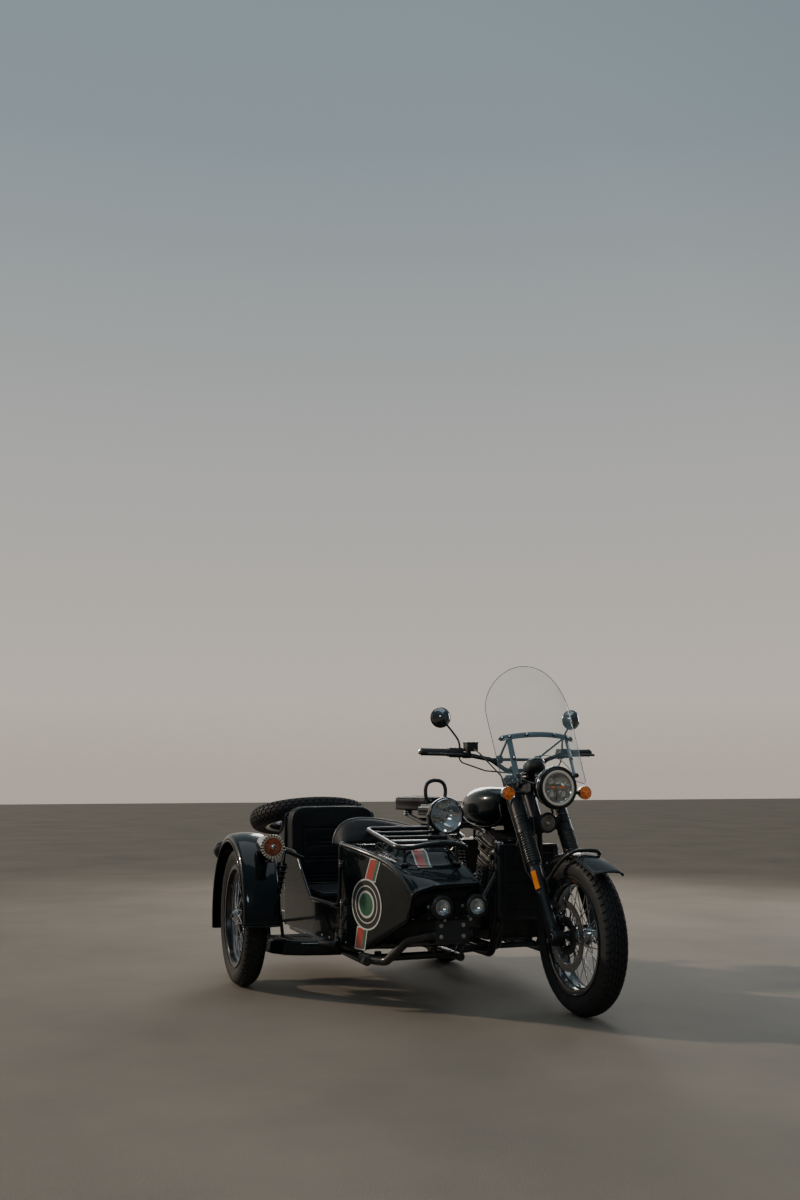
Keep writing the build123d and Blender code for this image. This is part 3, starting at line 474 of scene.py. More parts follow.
def interp(table, x):
    """smooth monotone-ish interpolation in a table of (x, value)"""
    xs = [t[0] for t in table]
    ys = [t[1] for t in table]
    if x <= xs[0]:
        return ys[0]
    if x >= xs[-1]:
        return ys[-1]
    for i in range(len(xs) - 1):
        if xs[i] <= x <= xs[i + 1]:
            h = xs[i + 1] - xs[i]
            d = [(ys[k + 1] - ys[k]) / (xs[k + 1] - xs[k]) for k in range(len(xs) - 1)]

            def slope(k):
                if k == 0:
                    return d[0]
                if k == len(xs) - 1:
                    return d[-1]
                if d[k - 1] * d[k] <= 0:
                    return 0.0
                return 2 * d[k - 1] * d[k] / (d[k - 1] + d[k])
            m0, m1 = slope(i), slope(i + 1)
            t = (x - xs[i]) / h
            return ((2 * t ** 3 - 3 * t ** 2 + 1) * ys[i] + (t ** 3 - 2 * t ** 2 + t) * h * m0
                    + (-2 * t ** 3 + 3 * t ** 2) * ys[i + 1] + (t ** 3 - t ** 2) * h * m1)


def tube(name, pts, r, mat, body, smooth=6, sides=14, closed=False, flat=None, caps=True):
    """round tube along a smooth line; r may be a list, one per given point; flat=(sx, sz) squashes the section"""
    P = catmull(pts, smooth, closed) if smooth > 1 else [np.array(p, float) for p in pts]
    n = len(P)
    if isinstance(r, (list, tuple)):
        m = len(pts)
        rs = [float(np.interp(i / (n - 1) * (m - 1), range(m), r)) for i in range(n)]
    else:
        rs = [r] * n
    rows = []
    t_prev = None
    nrm = None
    for i in range(n):
        if closed:
            t = P[(i + 1) % n] - P[i - 1]
        else:
            t = P[min(i + 1, n - 1)] - P[max(i - 1, 0)]
        t = t / (np.linalg.norm(t) + 1e-12)
        if nrm is None:
            a = np.array([0, 0, 1.0]) if abs(t[2]) < 0.9 else np.array([1.0, 0, 0])
            nrm = np.cross(t, a)
            nrm /= np.linalg.norm(nrm)
        else:
            nrm = nrm - t * np.dot(nrm, t)
            nrm /= np.linalg.norm(nrm) + 1e-12
        bi = np.cross(t, nrm)
        fx, fz = flat or (1, 1)
        rows.append([tuple(P[i] + rs[i] * (fx * math.cos(2 * math.pi * k / sides) * nrm
                                           + fz * math.sin(2 * math.pi * k / sides) * bi)) for k in range(sides)])
    verts = [p for row in rows for p in row]
    faces = grid_faces(n, sides, closed, True)
    if caps and not closed:
        faces.append(tuple(range(sides - 1, -1, -1)))
        faces.append(tuple((n - 1) * sides + j for j in range(sides)))
    ob = make(name, verts, faces, mat, body)
    fix_normals(ob)
    return auto_smooth(ob, 50)


def frame_of(direction):
    d = np.array(direction, float)
    d /= np.linalg.norm(d)
    a = np.array([0, 0, 1.0]) if abs(d[2]) < 0.9 else np.array([1.0, 0, 0])
    u = np.cross(a, d)
    u /= np.linalg.norm(u)
    v = np.cross(d, u)
    return d, u, v


def lathe_data(profile, origin, direction, steps=64, closed=True):
    d, u, v = frame_of(direction)
    o = np.array(origin, float)
    rows = []
    for k in range(steps):
        a = 2 * math.pi * k / steps
        c = math.cos(a) * u + math.sin(a) * v
        rows.append([tuple(o + d * p[0] + c * p[1]) for p in profile])
    verts = [p for row in rows for p in row]
    return verts, grid_faces(steps, len(profile), True, False)


def lathe(name, profile, origin, direction, mat, body, steps=64, angle=30.0):
    """turned piece; profile of (along, radius), open at both ends unless radius 0"""
    verts, faces = lathe_data(profile, origin, direction, steps)
    ob = make(name, verts, faces, mat, body)
    bm = bmesh.new()
    bm.from_mesh(ob.data)
    bmesh.ops.remove_doubles(bm, verts=bm.verts, dist=1e-6)
    bmesh.ops.dissolve_degenerate(bm, edges=bm.edges, dist=1e-7)
    bmesh.ops.recalc_face_normals(bm, faces=bm.faces)
    bm.to_mesh(ob.data)
    bm.free()
    return auto_smooth(ob, angle)


class Parts:
    """many small closed shapes in one mesh"""

    def __init__(self):
        self.v, self.f, self.m = [], [], []

    def add(self, verts, faces, mi=0):
        b = len(self.v)
        self.v += [tuple(p) for p in verts]
        self.f += [tuple(b + i for i in f) for f in faces]
        self.m += [mi] * len(faces)

    def turned(self, profile, origin, direction, steps=20, mi=0):
        v, f = lathe_data(profile, origin, direction, steps)
        self.add(v, f, mi)

    def hexbolt(self, p, d, size=8.0, height=5.0, mi=0, washer=True):
        dd, u, v = frame_of(d)
        o = np.array(p, float)
        if washer:
            self.turned([(0, 0), (0, size * 1.45), (1.2, size * 1.4), (1.2, 0)], p, d, 18, mi)
            o = o + dd * 1.2
        ring0 = [tuple(o + size * (math.cos(k * math.pi / 3) * u + math.sin(k * math.pi / 3) * v)) for k in range(6)]
        ring1 = [tuple(np.array(q) + dd * (height * 0.8)) for q in ring0]
        ring2 = [tuple(o + dd * height + size * 0.84 * (math.cos(k * math.pi / 3) * u + math.sin(k * math.pi / 3) * v))
                 for k in range(6)]
        self.add(ring0 + ring1 + ring2, [(k, (k + 1) % 6, 6 + (k + 1) % 6, 6 + k) for k in range(6)]
                 + [(6 + k, 6 + (k + 1) % 6, 12 + (k + 1) % 6, 12 + k) for k in range(6)] + [tuple(range(12, 18))], mi)

    def dome(self, p, d, r=6.0, h=4.0, mi=0):
        self.turned([(0, r), (h * 0.45, r * 0.95), (h * 0.8, r * 0.65), (h, r * 0.25), (h, 0.0)], p, d, 16, mi)

    def rod(self, a, b, r, sides=10, mi=0):
        a, b = np.array(a, float), np.array(b, float)
        self.turned([(0, 0), (0, r), (np.linalg.norm(b - a), r), (np.linalg.norm(b - a), 0)], a, b - a, sides, mi)

    def box(self, c, sx, sy, sz, mi=0, rot=None, ch=0.0):
        """box of full sizes about c; rot is three unit axes; ch chamfers all edges"""
        ax = rot or (np.array([1.0, 0, 0]), np.array([0, 1.0, 0]), np.array([0, 0, 1.0]))
        ax = [np.array(a, float) for a in ax]
        c = np.array(c, float)
        h = (sx / 2, sy / 2, sz / 2)
        if ch <= 0:
            P = [c + ax[0] * h[0] * i + ax[1] * h[1] * j + ax[2] * h[2] * k for i in (-1, 1) for j in (-1, 1) for k in (-1, 1)]
            self.add(P, [(0, 1, 3, 2), (4, 6, 7, 5), (0, 4, 5, 1), (2, 3, 7, 6), (0, 2, 6, 4), (1, 5, 7, 3)], mi)
            return
        bm = bmesh.new()
        bmesh.ops.create_cube(bm, size=1.0)
        for q in bm.verts:
            q.co = Vector((q.co.x * sx, q.co.y * sy, q.co.z * sz))
        bmesh.ops.bevel(bm, geom=list(bm.edges), offset=ch, segments=2, affect="EDGES", profile=0.7)
        bm.verts.index_update()
        P = [c + ax[0] * q.co.x + ax[1] * q.co.y + ax[2] * q.co.z for q in bm.verts]
        F = [[q.index for q in f.verts] for f in bm.faces]
        bm.free()
        self.add(P, F, mi)

    def build(self, name, mats, body, angle=32.0):
        ob = make(name, self.v, self.f, None, body, mats=mats, face_mats=self.m)
        bm = bmesh.new()
        bm.from_mesh(ob.data)
        bmesh.ops.remove_doubles(bm, verts=bm.verts, dist=1e-6)
        bmesh.ops.dissolve_degenerate(bm, edges=bm.edges, dist=1e-7)
        bmesh.ops.recalc_face_normals(bm, faces=bm.faces)
        bm.to_mesh(ob.data)
        bm.free()
        return auto_smooth(ob, angle)


def sstep(a, b, x):
    t = min(1.0, max(0.0, (x - a) / (b - a)))
    return t * t * (3 - 2 * t)




def wheel_paint(name, centre, axis, turn=0.214):
    """bright hub and spokes inside, gloss black rim outside the given radius (metres)"""
    mat = MATS["chrome"].copy()
    mat.name = name
    nt = mat.node_tree
    bs = nt.nodes["Principled BSDF"]
    tc = nt.nodes.new("ShaderNodeTexCoord")
    sub = nt.nodes.new("ShaderNodeVectorMath")
    sub.operation = "SUBTRACT"
    nt.links.new(tc.outputs["Object"], sub.inputs[0])
    sub.inputs[1].default_value = centre
    cr = nt.nodes.new("ShaderNodeVectorMath")
    cr.operation = "CROSS_PRODUCT"
    nt.links.new(sub.outputs["Vector"], cr.inputs[0])
    cr.inputs[1].default_value = axis
    ln = nt.nodes.new("ShaderNodeVectorMath")
    ln.operation = "LENGTH"
    nt.links.new(cr.outputs["Vector"], ln.inputs[0])
    out = _range(nt, ln.outputs["Value"], 0.0, 1.0, turn - 0.001, turn + 0.001)
    base = bs.inputs["Base Color"].links[0].from_socket
    n = _noise(nt, 40.0, 5.0, 0.6, tc.outputs["Object"])
    paint = _mix(nt, _range(nt, n.outputs["Fac"], 0.0, 1.0), (0.008, 0.009, 0.011), (0.016, 0.017, 0.019))
    nt.links.new(_mix(nt, out, base, paint), bs.inputs["Base Color"])
    nt.links.new(_math(nt, "SUBTRACT", 1.0, out), bs.inputs["Metallic"])
    rough = bs.inputs["Roughness"].links[0].from_socket
    nt.links.new(_math(nt, "ADD", rough, _math(nt, "MULTIPLY", out, 0.12)), bs.inputs["Roughness"])
    nt.links.new(out, bs.inputs["Coat Weight"])
    MATS[name] = mat
    return mat


for n, ax in (("front_rim", (1, 0, 0)), ("rear_rim", (1, 0, 0)), ("sidecar_rim", (1, 0, 0)),
              ("spare_rim", (0, math.sin(math.radians(13)), math.cos(math.radians(13))))):
    o = NODES[n]
    co = np.array([v.co[:] for v in o.data.vertices])
    if n == "spare_rim":
        mid = tuple(np.array(M((-680.0, 400.0, 782.0))) - np.array(o.matrix_world.translation))
    else:
        mid = tuple((co.min(axis=0) + co.max(axis=0)) / 2)
    o.data.materials.clear()
    o.data.materials.append(wheel_paint(n + "_paint", mid, ax))

# ------------------------------------------------------------------ camera
cam_data = bpy.data.cameras.new("camera")
cam = bpy.data.objects.new("camera", cam_data)
bpy.context.scene.collection.objects.link(cam)
cam.location = M((-2480.0, -6128.0, 1009.2))
cam.rotation_euler = (math.radians(90 + 8.74), 0.0, math.radians(-19.91))
cam_data.lens = 34.5
cam_data.sensor_width = 36.0
cam_data.clip_end = 200
bpy.context.scene.camera = cam

# ------------------------------------------------------------ floor, light
fl = bpy.data.meshes.new("floor")
fl.from_pydata([(-40, -40, 0), (40, -40, 0), (40, 40, 0), (-40, 40, 0)], [], [(0, 1, 2, 3)])
floor = bpy.data.objects.new("floor", fl)
bpy.context.scene.collection.objects.link(floor)
fm = bpy.data.materials.new("floor")
fm.use_nodes = True
fbs = fm.node_tree.nodes["Principled BSDF"]
ftc = fm.node_tree.nodes.new("ShaderNodeTexCoord")
fn = _noise(fm.node_tree, 0.9, 8.0, 0.6, ftc.outputs["Object"])
fm.node_tree.links.new(_mix(fm.node_tree, _range(fm.node_tree, fn.outputs["Fac"], 0.0, 1.0), (0.150, 0.126, 0.100), (0.215, 0.180, 0.142)),
                       fbs.inputs["Base Color"])
fg = _noise(fm.node_tree, 160.0, 6.0, 0.7, ftc.outputs["Object"])
fb = fm.node_tree.nodes.new("ShaderNodeBump")
fb.inputs["Distance"].default_value = 0.002
fm.node_tree.links.new(fg.outputs["Fac"], fb.inputs["Height"])
fm.node_tree.links.new(fb.outputs["Normal"], fbs.inputs["Normal"])
fbs.inputs["Roughness"].default_value = 0.8
fl.materials.append(fm)

world = bpy.data.worlds.new("world")
bpy.context.scene.world = world
world.use_nodes = True
wn = world.node_tree
bg = wn.nodes["Background"]
bg.inputs["Strength"].default_value = 1.0
wtc = wn.nodes.new("ShaderNodeTexCoord")
wsep = wn.nodes.new("ShaderNodeSeparateXYZ")
wn.links.new(wtc.outputs["Generated"], wsep.inputs[0])


def ramp(src, stops):
    r = wn.nodes.new("ShaderNodeValToRGB")
    el = r.color_ramp.elements
    el[0].position, el[0].color = stops[0][0], (*stops[0][1], 1)
    el[1].position, el[1].color = stops[-1][0], (*stops[-1][1], 1)
    for p, c in stops[1:-1]:
        q = el.new(p)
        q.color = (*c, 1)
    wn.links.new(src, r.inputs["Fac"])
    return r.outputs["Color"]


# bright warm haze behind the outfit, dim teal sky on the camera's side
w_back = ramp(wsep.outputs["Z"], [(0.0, (0.52, 0.45, 0.385)), (0.06, (0.60, 0.535, 0.46)), (0.22, (0.50, 0.485, 0.46)), (0.5, (0.27, 0.33, 0.36)),
                                  (1.0, (0.16, 0.24, 0.29))])
w_front = ramp(wsep.outputs["Z"], [(0.0, (0.085, 0.088, 0.09)), (0.15, (0.10, 0.12, 0.13)), (0.5, (0.085, 0.12, 0.14)), (1.0, (0.16, 0.24, 0.29))])
w_fac = _range(wn, wsep.outputs["Y"], 0.0, 1.0, 0.10, 0.75)
wn.links.new(_mix(wn, w_fac, w_front, w_back), bg.inputs["Color"])


def area(name, loc, target, size, power, color=(1, 1, 1), size_y=None):
    d = bpy.data.lights.new(name, "AREA")
    d.energy = power
    d.color = color
    d.size = size
    if size_y:
        d.shape = "RECTANGLE"
        d.size_y = size_y
    o = bpy.data.objects.new(name, d)
    bpy.context.scene.collection.objects.link(o)
    o.location = loc
    o.rotation_euler = (Vector(target) - Vector(loc)).to_track_quat("-Z", "Y").to_euler()
    return o


sd = bpy.data.lights.new("sun", "SUN")
sd.energy = 2.3
sd.angle = math.radians(2.5)
sd.color = (1.0, 0.84, 0.66)
sun = bpy.data.objects.new("sun", sd)
bpy.context.scene.collection.objects.link(sun)
sun.location = (-6.5, 5.2, 4.0)
sun.rotation_euler = (Vector((0, 0, 0.4)) - Vector((-6.5, 5.2, 4.0))).to_track_quat("-Z", "Y").to_euler()
area("front", (-3.2, -5.8, 3.6), (0.0, 0.0, 0.5), 2.6, 60, (0.86, 0.95, 1.0), 0.8)
area("top", (0.3, 0.4, 5.2), (0.0, 0.0, 0.4), 6.0, 62, (0.88, 0.95, 1.0), 4.0)
area("right", (5.4, 1.8, 2.0), (0.0, 0.0, 0.6), 1.6, 60, (0.90, 0.96, 1.0), 2.4)
area("back", (2.2, 5.4, 2.8), (0.0, 0.0, 0.6), 3.0, 120, (1.0, 0.95, 0.88), 2.0)


# ------------------------------------------------------------- sidecar tub
OUTER = [(-1444, -716), (-1430, -725), (-1300, -762), (-890, -870), (-520, -905), (50, -905), (300, -882), (692, -800)]
INNER = [(-1444, -406), (-1300, -401), (420, -400), (692, -440)]
EDGE = [(-1444, 500), (-1430, 514), (-1414, 530), (-1393, 551), (-1350, 588), (-1290, 623), (-1216, 649), (-1110, 672),
        (-941, 697), (-884, 702)]
DECK = [(-1444, 552), (-1400, 572), (-1350, 593), (-1290, 615), (-1216, 638), (-1110, 662), (-941, 690), (-884, 697)]
LOWER = [(-1444, 499), (-1432, 497), (-1396, 402), (-1050, 230)]


def lin(table, x):
    return float(np.interp(x, [t[0] for t in table], [t[1] for t in table]))


def side_x(y, z):
    """outer wall of the tub, slightly bellied"""
    zb = lin(LOWER, y) if y < -1050 else 230.0
    zt = interp(EDGE, y) if y < -884 else 640.0
    t = min(1.0, max(0.0, (z - zb) / max(40.0, zt - zb)))
    return interp(OUTER, y) - 5.0 * math.sin(math.pi * t) * sstep(-1440, -1250, y)


def hump(x, y):
    q = (abs((x + 556) / 158.0) ** 3.0 + max(0.0, (-1095.0 - y) / 182.0) ** 3.0) ** (1 / 3.0)
    back = 1 - sstep(-1000, -905, y)
    return 40.0 * (1 - sstep(0.66, 1.0, q)) * back


LIPZ = [(-728, 519), (-716, 522), (-690, 531), (-660, 540), (-637, 546), (-600, 550), (-554, 552.5), (-400, 554)]


def lip_shift(x, y):
    """how far the front of the deck is drawn down towards its lip"""
    w = sstep(-711, -626, x)
    return (interp(LIPZ, x) - (508 * (1 - w) + 556 * w)) * sstep(-1290, -1432, y)


def nose_section(y, n_side=16, n_corner=9, n_deck=64, n_in=12):
    zb = lin(LOWER, y)
    ze = interp(EDGE, y)
    zd = interp(DECK, y)
    xi = interp(INNER, y)
    rc = min(20 + 12 * sstep(-900, -1350, y), (ze - zb) * 0.9 + 0.5)
    xo_ = interp(OUTER, y)
    pts = []
    for k in range(n_side):
        z = zb + (ze - rc - zb) * k / n_side
        pts.append((side_x(y, z), y, z + lip_shift(xo_, y) * k / n_side))
    xo = interp(OUTER, y)
    for k in range(n_corner):
        a = math.pi / 2 * k / (n_corner - 1)
        pts.append((xo + rc - rc * math.cos(a), y, ze - rc + rc * math.sin(a) + lip_shift(xo, y)))
    rci = 14.0
    x0, x1 = xo + rc, xi - rci
    for k in range(1, n_deck):
        x = x0 + (x1 - x0) * k / n_deck
        w = sstep(x0, x0 + 85, x)
        trough = -1.2 * math.sin(math.pi * min(1, (x - x0) / 70.0)) ** 2 if x - x0 < 70 else 0.0
        z = ze * (1 - w) + zd * w + trough * sstep(-1400, -1300, y) + hump(x, y) + lip_shift(x, y)
        pts.append((x, y, z))
    zi = zd - 2
    for k in range(n_corner):
        a = math.pi / 2 * (1 - k / (n_corner - 1))
        pts.append((xi - rci + rci * math.cos(a), y, zi - rci + rci * math.sin(a)))
    for k in range(1, n_in + 1):
        z = (zi - rci) + (zb - (zi - rci)) * k / n_in
        pts.append((xi, y, min(z, zi - rci)))
    return pts


def crown_lip(p):
    """plan crown of the nose edge"""
    x, y, z = p
    t = sstep(-1280, -1440, y)
    u = (x + 568) / 165.0
    return (x, y - 12.0 * (1 - min(1.0, u * u)) * t + 8 * max(0.0, abs(u) - 0.85) / 0.15 * t * 0.6, z)


ys = ([-1436, -1432, -1424, -1414, -1405, -1396] + [-1396 + (346) * k / 26 for k in range(1, 27)]
      + [-1050 + 166 * k / 12 for k in range(1, 13)])
rows = [[crown_lip(p) for p in nose_section(y)] for y in ys]
nose = grid("tub_nose", rows, "gloss_black", "chassis", thick=3.0, offset=-1.0, even=False)

# recessed front and floor under the nose
rows = []
front_prof = [(-1437, -5, 2), (-1428, -16, 4), (-1406, -44, 5), (-1384, -60, 6), (-1370, -84, 8), (-1366, -110, 9)]
for y, dz, inset in front_prof:
    row = []
    for k in range(25):
        x = -716 + inset + (-408 - inset - (-716 + inset)) * k / 24
        ze = interp(LIPZ, x)
        row.append(crown_lip((x, y, max(ze + dz, 408))))
    rows.append(row)
for y, z in [(-1360, 408), (-1300, 372), (-1200, 322), (-1100, 272), (-1046, 246), (-960, 244), (-884, 244)]:
    row = []
    for k in range(25):
        xo = side_x(y, z) + 6
        row.append((xo + (-408 - xo) * k / 24, y, z))
    rows.append(row)
grid("tub_nose_underside", rows, "gloss_black", "chassis", thick=3.0)

# middle: inner wall, floor and outer wall up to the door sill
SILL = [(-884, 425), (-866, 414), (-523, 415), (-490, 422), (-450, 447), (-330, 536), (-235, 603), (-215, 613), (-190, 622),
        (43, 627)]


def mid_section(y, n=16):
    xi, xo = -400.0, interp(OUTER, y)
    top_in = 697 + 22 * sstep(-884, -640, y)
    zs = lin(SILL, y)
    pts = []
    for k in range(n):
        pts.append((xi, y, top_in + (246 - top_in) * k / n))
    for k in range(7):
        a = math.pi / 2 * k / 6
        pts.append((xi - 16 + 16 * math.cos(a), y, 246 - 16 * math.sin(a)))
    for k in range(1, 12):
        pts.append((xi - 16 + (xo + 16 - xi + 16) * k / 12, y, 230))
    for k in range(7):
        a = math.pi / 2 * k / 6
        pts.append((xo + 16 - 16 * math.sin(a), y, 246 - 16 * math.cos(a)))
    for k in range(1, n + 1):
        z = 246 + (zs - 246) * k / n
        t = (z - 246) / 400.0
        pts.append((xo - 5.0 * math.sin(math.pi * min(1, t)), y, z))
    return pts


ys = sorted(set([-884, -880, -875, -870, -866, -860] + [-860 + 330 * k / 12 for k in range(1, 13)]
                + [-523, -510, -500, -490, -480, -470, -460] + [-450 + 215 * k / 16 for k in range(17)]
                + [-225, -215, -205, -190] + [-190 + 233 * k / 10 for k in range(1, 11)]))
grid("tub_middle", [mid_section(y) for y in ys], "gloss_black", "chassis", thick=3.5, offset=-1.0)

# boat tail: closed sections
TOP = [(43, 819), (60, 821), (110, 808), (300, 716), (500, 611), (600, 560), (640, 538), (670, 500), (690, 460)]
BOT = [(43, 230), (300, 230), (600, 290), (660, 330), (690, 380)]


def tail_section(y):
    xi, xo = interp(INNER, y), interp(OUTER, y)
    zt, zb = interp(TOP, y), interp(BOT, y)
    rt = min(24.0 + 44.0 * sstep(60, 330, y), (zt - zb) * 0.45)
    rb = min(30.0, (zt - zb) * 0.3)
    pts = []
    for cx, cz, r, a0, n in ((xo + rt, zt - rt, rt, 180, 12), (xi - rt, zt - rt, rt, 90, 12),
                             (xi - rb, zb + rb, rb, 0, 8), (xo + rb, zb + rb, rb, -90, 8)):
        for k in range(n + 1):
            a = math.radians(a0 - 90 * k / n)
            pts.append((cx + r * math.cos(a), y, cz + r * math.sin(a)))
        if a0 == 180:
            for k in range(1, 12):
                pts.append((cx + (xi - rt - cx) * k / 12, y, zt + 3 * math.sin(math.pi * k / 12)))
        if a0 == 90:
            for k in range(1, 10):
                pts.append((xi, y, zt - rt + (zb + rb - zt + rt) * k / 10))
        if a0 == 0:
            for k in range(1, 12):
                pts.append((xi - rb + (xo + rb - xi + rb) * k / 12, y, zb))
        if a0 == -90:
            for k in range(1, 10):
                t = k / 10
                pts.append((xo - 5 * math.sin(math.pi * t), y, zb + rb + (zt - rt - zb - rb) * t))
    return pts


ys = [43, 50, 60, 80, 110, 150, 200, 260, 320, 380, 440, 500, 550, 590, 620, 640, 655, 668, 678, 685, 689]
rows = [tail_section(y) for y in ys]
last = rows[-1]
cx = sum(p[0] for p in last) / len(last)
cz = sum(p[2] for p in last) / len(last)
for f, y in ((0.97, 690.5), (0.9, 691.5), (0.5, 692), (0.02, 692)):
    rows.append([(cx + (p[0] - cx) * f, y, cz + (p[2] - cz) * f) for p in last])
first = rows[0]
cz0 = 520.0
front_cap = [[(-652 + (p[0] + 652) * f, 43.0, cz0 + (p[2] - cz0) * f) for p in first] for f in (0.02, 0.5, 0.9)]
grid("tub_tail", front_cap + rows, "gloss_black", "chassis", close_v=True)

# cockpit floor and seat box
cab = Parts()
cab.box((-650, -290, 311), 390, 458, 160, 0, ch=6)
cab.build("seat_box", ["satin_black"], "chassis")
rows = []
for y in [-1030, -1000, -900, -800, -700, -600, -530, -524]:
    z = 238 + (60 * sstep(-1000, -1120, y))
    xo = (side_x(y, 260) + 12)
    rows.append([(xo + (-412 - xo) * k / 10, y, z + 2 * math.sin(k * 1.3 + y * 0.02)) for k in range(11)])
grid("floor_mat", rows, "carpet", "chassis", thick=5)

# cowl: sloped hood with a piped rim behind the rack
ARCH = [(-868, 694), (-864, 722), (-852, 752), (-826, 784), (-780, 804), (-720, 810), (-640, 803), (-540, 785), (-460, 764),
        (-420, 742), (-406, 716), (-402, 696)]
arc = catmull([(a, 0, b) for a, b in ARCH], 7)
rows = []
for k in range(15):
    s = k / 14
    y = -884 + 142 * s
    f = 0.02 + 0.98 * math.sin(math.pi / 2 * min(1, s * 1.02)) ** 0.85
    rows.append([(p[0], y, 697 + (p[2] - 697) * f + (3.0 if f < 0.5 else 0)) for p in arc])
cowl_piece = grid("cowl_shell", rows, "vinyl", "chassis", thick=4, offset=-1)
rim = [(p[0], -741, 697 + (p[2] - 697)) for p in arc[::4]] + [(arc[-1][0], -741, arc[-1][2])]
# lighter grey piping: partly a painted highlight along the rim
tube("cowl_piping", rim, 6.5, "piping_painted_highlight", "chassis", smooth=5, sides=12)

# edge trim: round the door opening from the cowl down, back along the sill and up to the seat
trim = [(-874, -872, 690), (-876, -876, 640), (-877, -877, 560), (-878, -877, 470), (-880, -870, 432), (-884, -845, 421),
        (-898, -700, 421), (-907, -560, 422), (-908, -500, 424), (-909, -450, 452), (-911, -330, 540), (-911, -240, 607),
        (-910, -205, 622), (-909, -150, 630), (-908, -30, 633), (-906, 34, 634)]
tube("door_edge_trim", trim, [7.5] * 9 + [7.2, 6.6, 5.6, 4.8, 4.2, 3.8, 3.6], "frame_black", "chassis", smooth=8, sides=14)
tube("inner_coaming", [(-401, -884, 700), (-401, -800, 708), (-401, -640, 721), (-401, -300, 722), (-401, 40, 722)], 7,
     "frame_black", "chassis", smooth=5, sides=12)
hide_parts("tub")
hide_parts("cowl")
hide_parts("door_trim")

# rolled bead of the nose panel, with its open end by the door; the chrome cap on that end is a painted highlight of the
# bright roll end
bead = []
for y in [-886, -941, -1010, -1110, -1180, -1216, -1255, -1290, -1325, -1350, -1372, -1393, -1408, -1420, -1430]:
    bead.append(crown_lip((interp(OUTER, y) + 4 + 4 * sstep(-1300, -1430, y), y, interp(EDGE, y) - 5 - 4 * sstep(-1300, -1430, y))))
bead_r = [11.5, 11.5, 11.2, 10.8, 10.3, 10, 9.4, 9, 8.2, 7.6, 7, 6.4, 5.8, 5.2, 4.8]
tube("nose_bead", bead, bead_r, "frame_black", "chassis", smooth=5, sides=20)
lathe("nose_bead_end_highlight", [(0, 12.6), (3, 13.4), (10, 13.4), (12, 12), (12, 0)], (bead[0][0], -874, bead[0][2] + 0.5), (0, -1, -0.05),
      "chrome", "chassis", 24)
lip = [crown_lip((x, -1436, interp(LIPZ, x) + 0.5)) for x in np.linspace(-716, -408, 24)]
tube("nose_lip", lip, 3.6, "gloss_black", "chassis", smooth=3, sides=10)
tube("nose_front_edge", [(-721, -1430, 510), (-727, -1418, 462), (-733, -1396, 404), (-745, -1350, 379), (-790, -1180, 294),
                         (-826, -1052, 231)], 3.4, "gloss_black", "chassis", smooth=4, sides=8)
tube("hood_seam", [crown_lip((x, y, interp(DECK, y) + hump(x, y) + 1.0)) for x, y in
                   [(-716, -915), (-716, -1000), (-714, -1100), (-706, -1180), (-684, -1240), (-640, -1272), (-556, -1280),
                    (-472, -1272), (-428, -1240)]], 2.0, "satin_black", "chassis", smooth=6, sides=8)


def side_patch(name, cols, mat, off):
    """grid of (y, z) rows laid on the outer wall"""
    rows = [[(side_x(y, z) - off, y, z) for y, z in row] for row in cols]
    return grid(name, rows, mat, "chassis")


def stripe_centre(z):
    return interp([(248, -1056), (339, -1080), (553, -1139), (645, -1172)], z)


def stripe(name, z0, z1, a, b, mat, off):
    cols = []
    for k in range(13):
        z = z0 + (z1 - z0) * k / 12
        c = stripe_centre(z)
        cols.append([(c + a + (b - a) * j / 4, z) for j in range(5)])
    side_patch(name, cols, mat, off)


for tag, z0, z1 in (("up", 552, 643), ("low", 250, 341)):
    stripe(f"stripe_{tag}_white", z0 - 6, z1 + 5, -40, 40, "white_paint", 1.0)
    stripe(f"stripe_{tag}_red", z0, z1, -14, 34, "red_paint", 1.7)
    stripe(f"stripe_{tag}_green", z0, z1, -34, -16, "green_paint", 1.7)


def ring_patch(name, r0, r1, mat, off, cy=-1112, cz=446, teeth=0, depth=0.0):
    n = 96
    cols = []
    for i in range(n + 1):
        a = 2 * math.pi * i / n
        ro = r1 + (depth * (1 if (i // 2) % 2 else 0) if teeth else 0)
        cols.append([(cy + (r0 + (ro - r0) * j / 3) * math.cos(a), cz + (r0 + (ro - r0) * j / 3) * math.sin(a)) for j in range(4)])
    side_patch(name, cols, mat, off)


ring_patch("roundel_ground", 0.5, 112, "satin_black", 1.4)
ring_patch("roundel_rim", 105, 112, "white_paint", 1.9)
ring_patch("roundel_ring", 78, 83, "white_paint", 1.9)
ring_patch("roundel_disc", 0.5, 60, "white_paint", 1.9)
ring_patch("roundel_core", 0.5, 50, "green_paint", 2.4)

# stripe over the front of the hood hump
for nm, x0, x1, y0, y1, mat, off in (("white", -642, -576, -1100, -1292, "white_paint", 1.0),
                                     ("red", -636, -597, -1100, -1286, "red_paint", 1.7),
                                     ("green", -597, -583, -1100, -1286, "green_paint", 1.7)):
    rows = []
    for k in range(33):
        y = y0 + (y1 - y0) * k / 32
        rows.append([crown_lip((x, y, interp(DECK, y) + hump(x, y) + off)) for x in np.linspace(x0, x1, 6)])
    grid("hood_stripe_" + nm, rows, mat, "chassis")

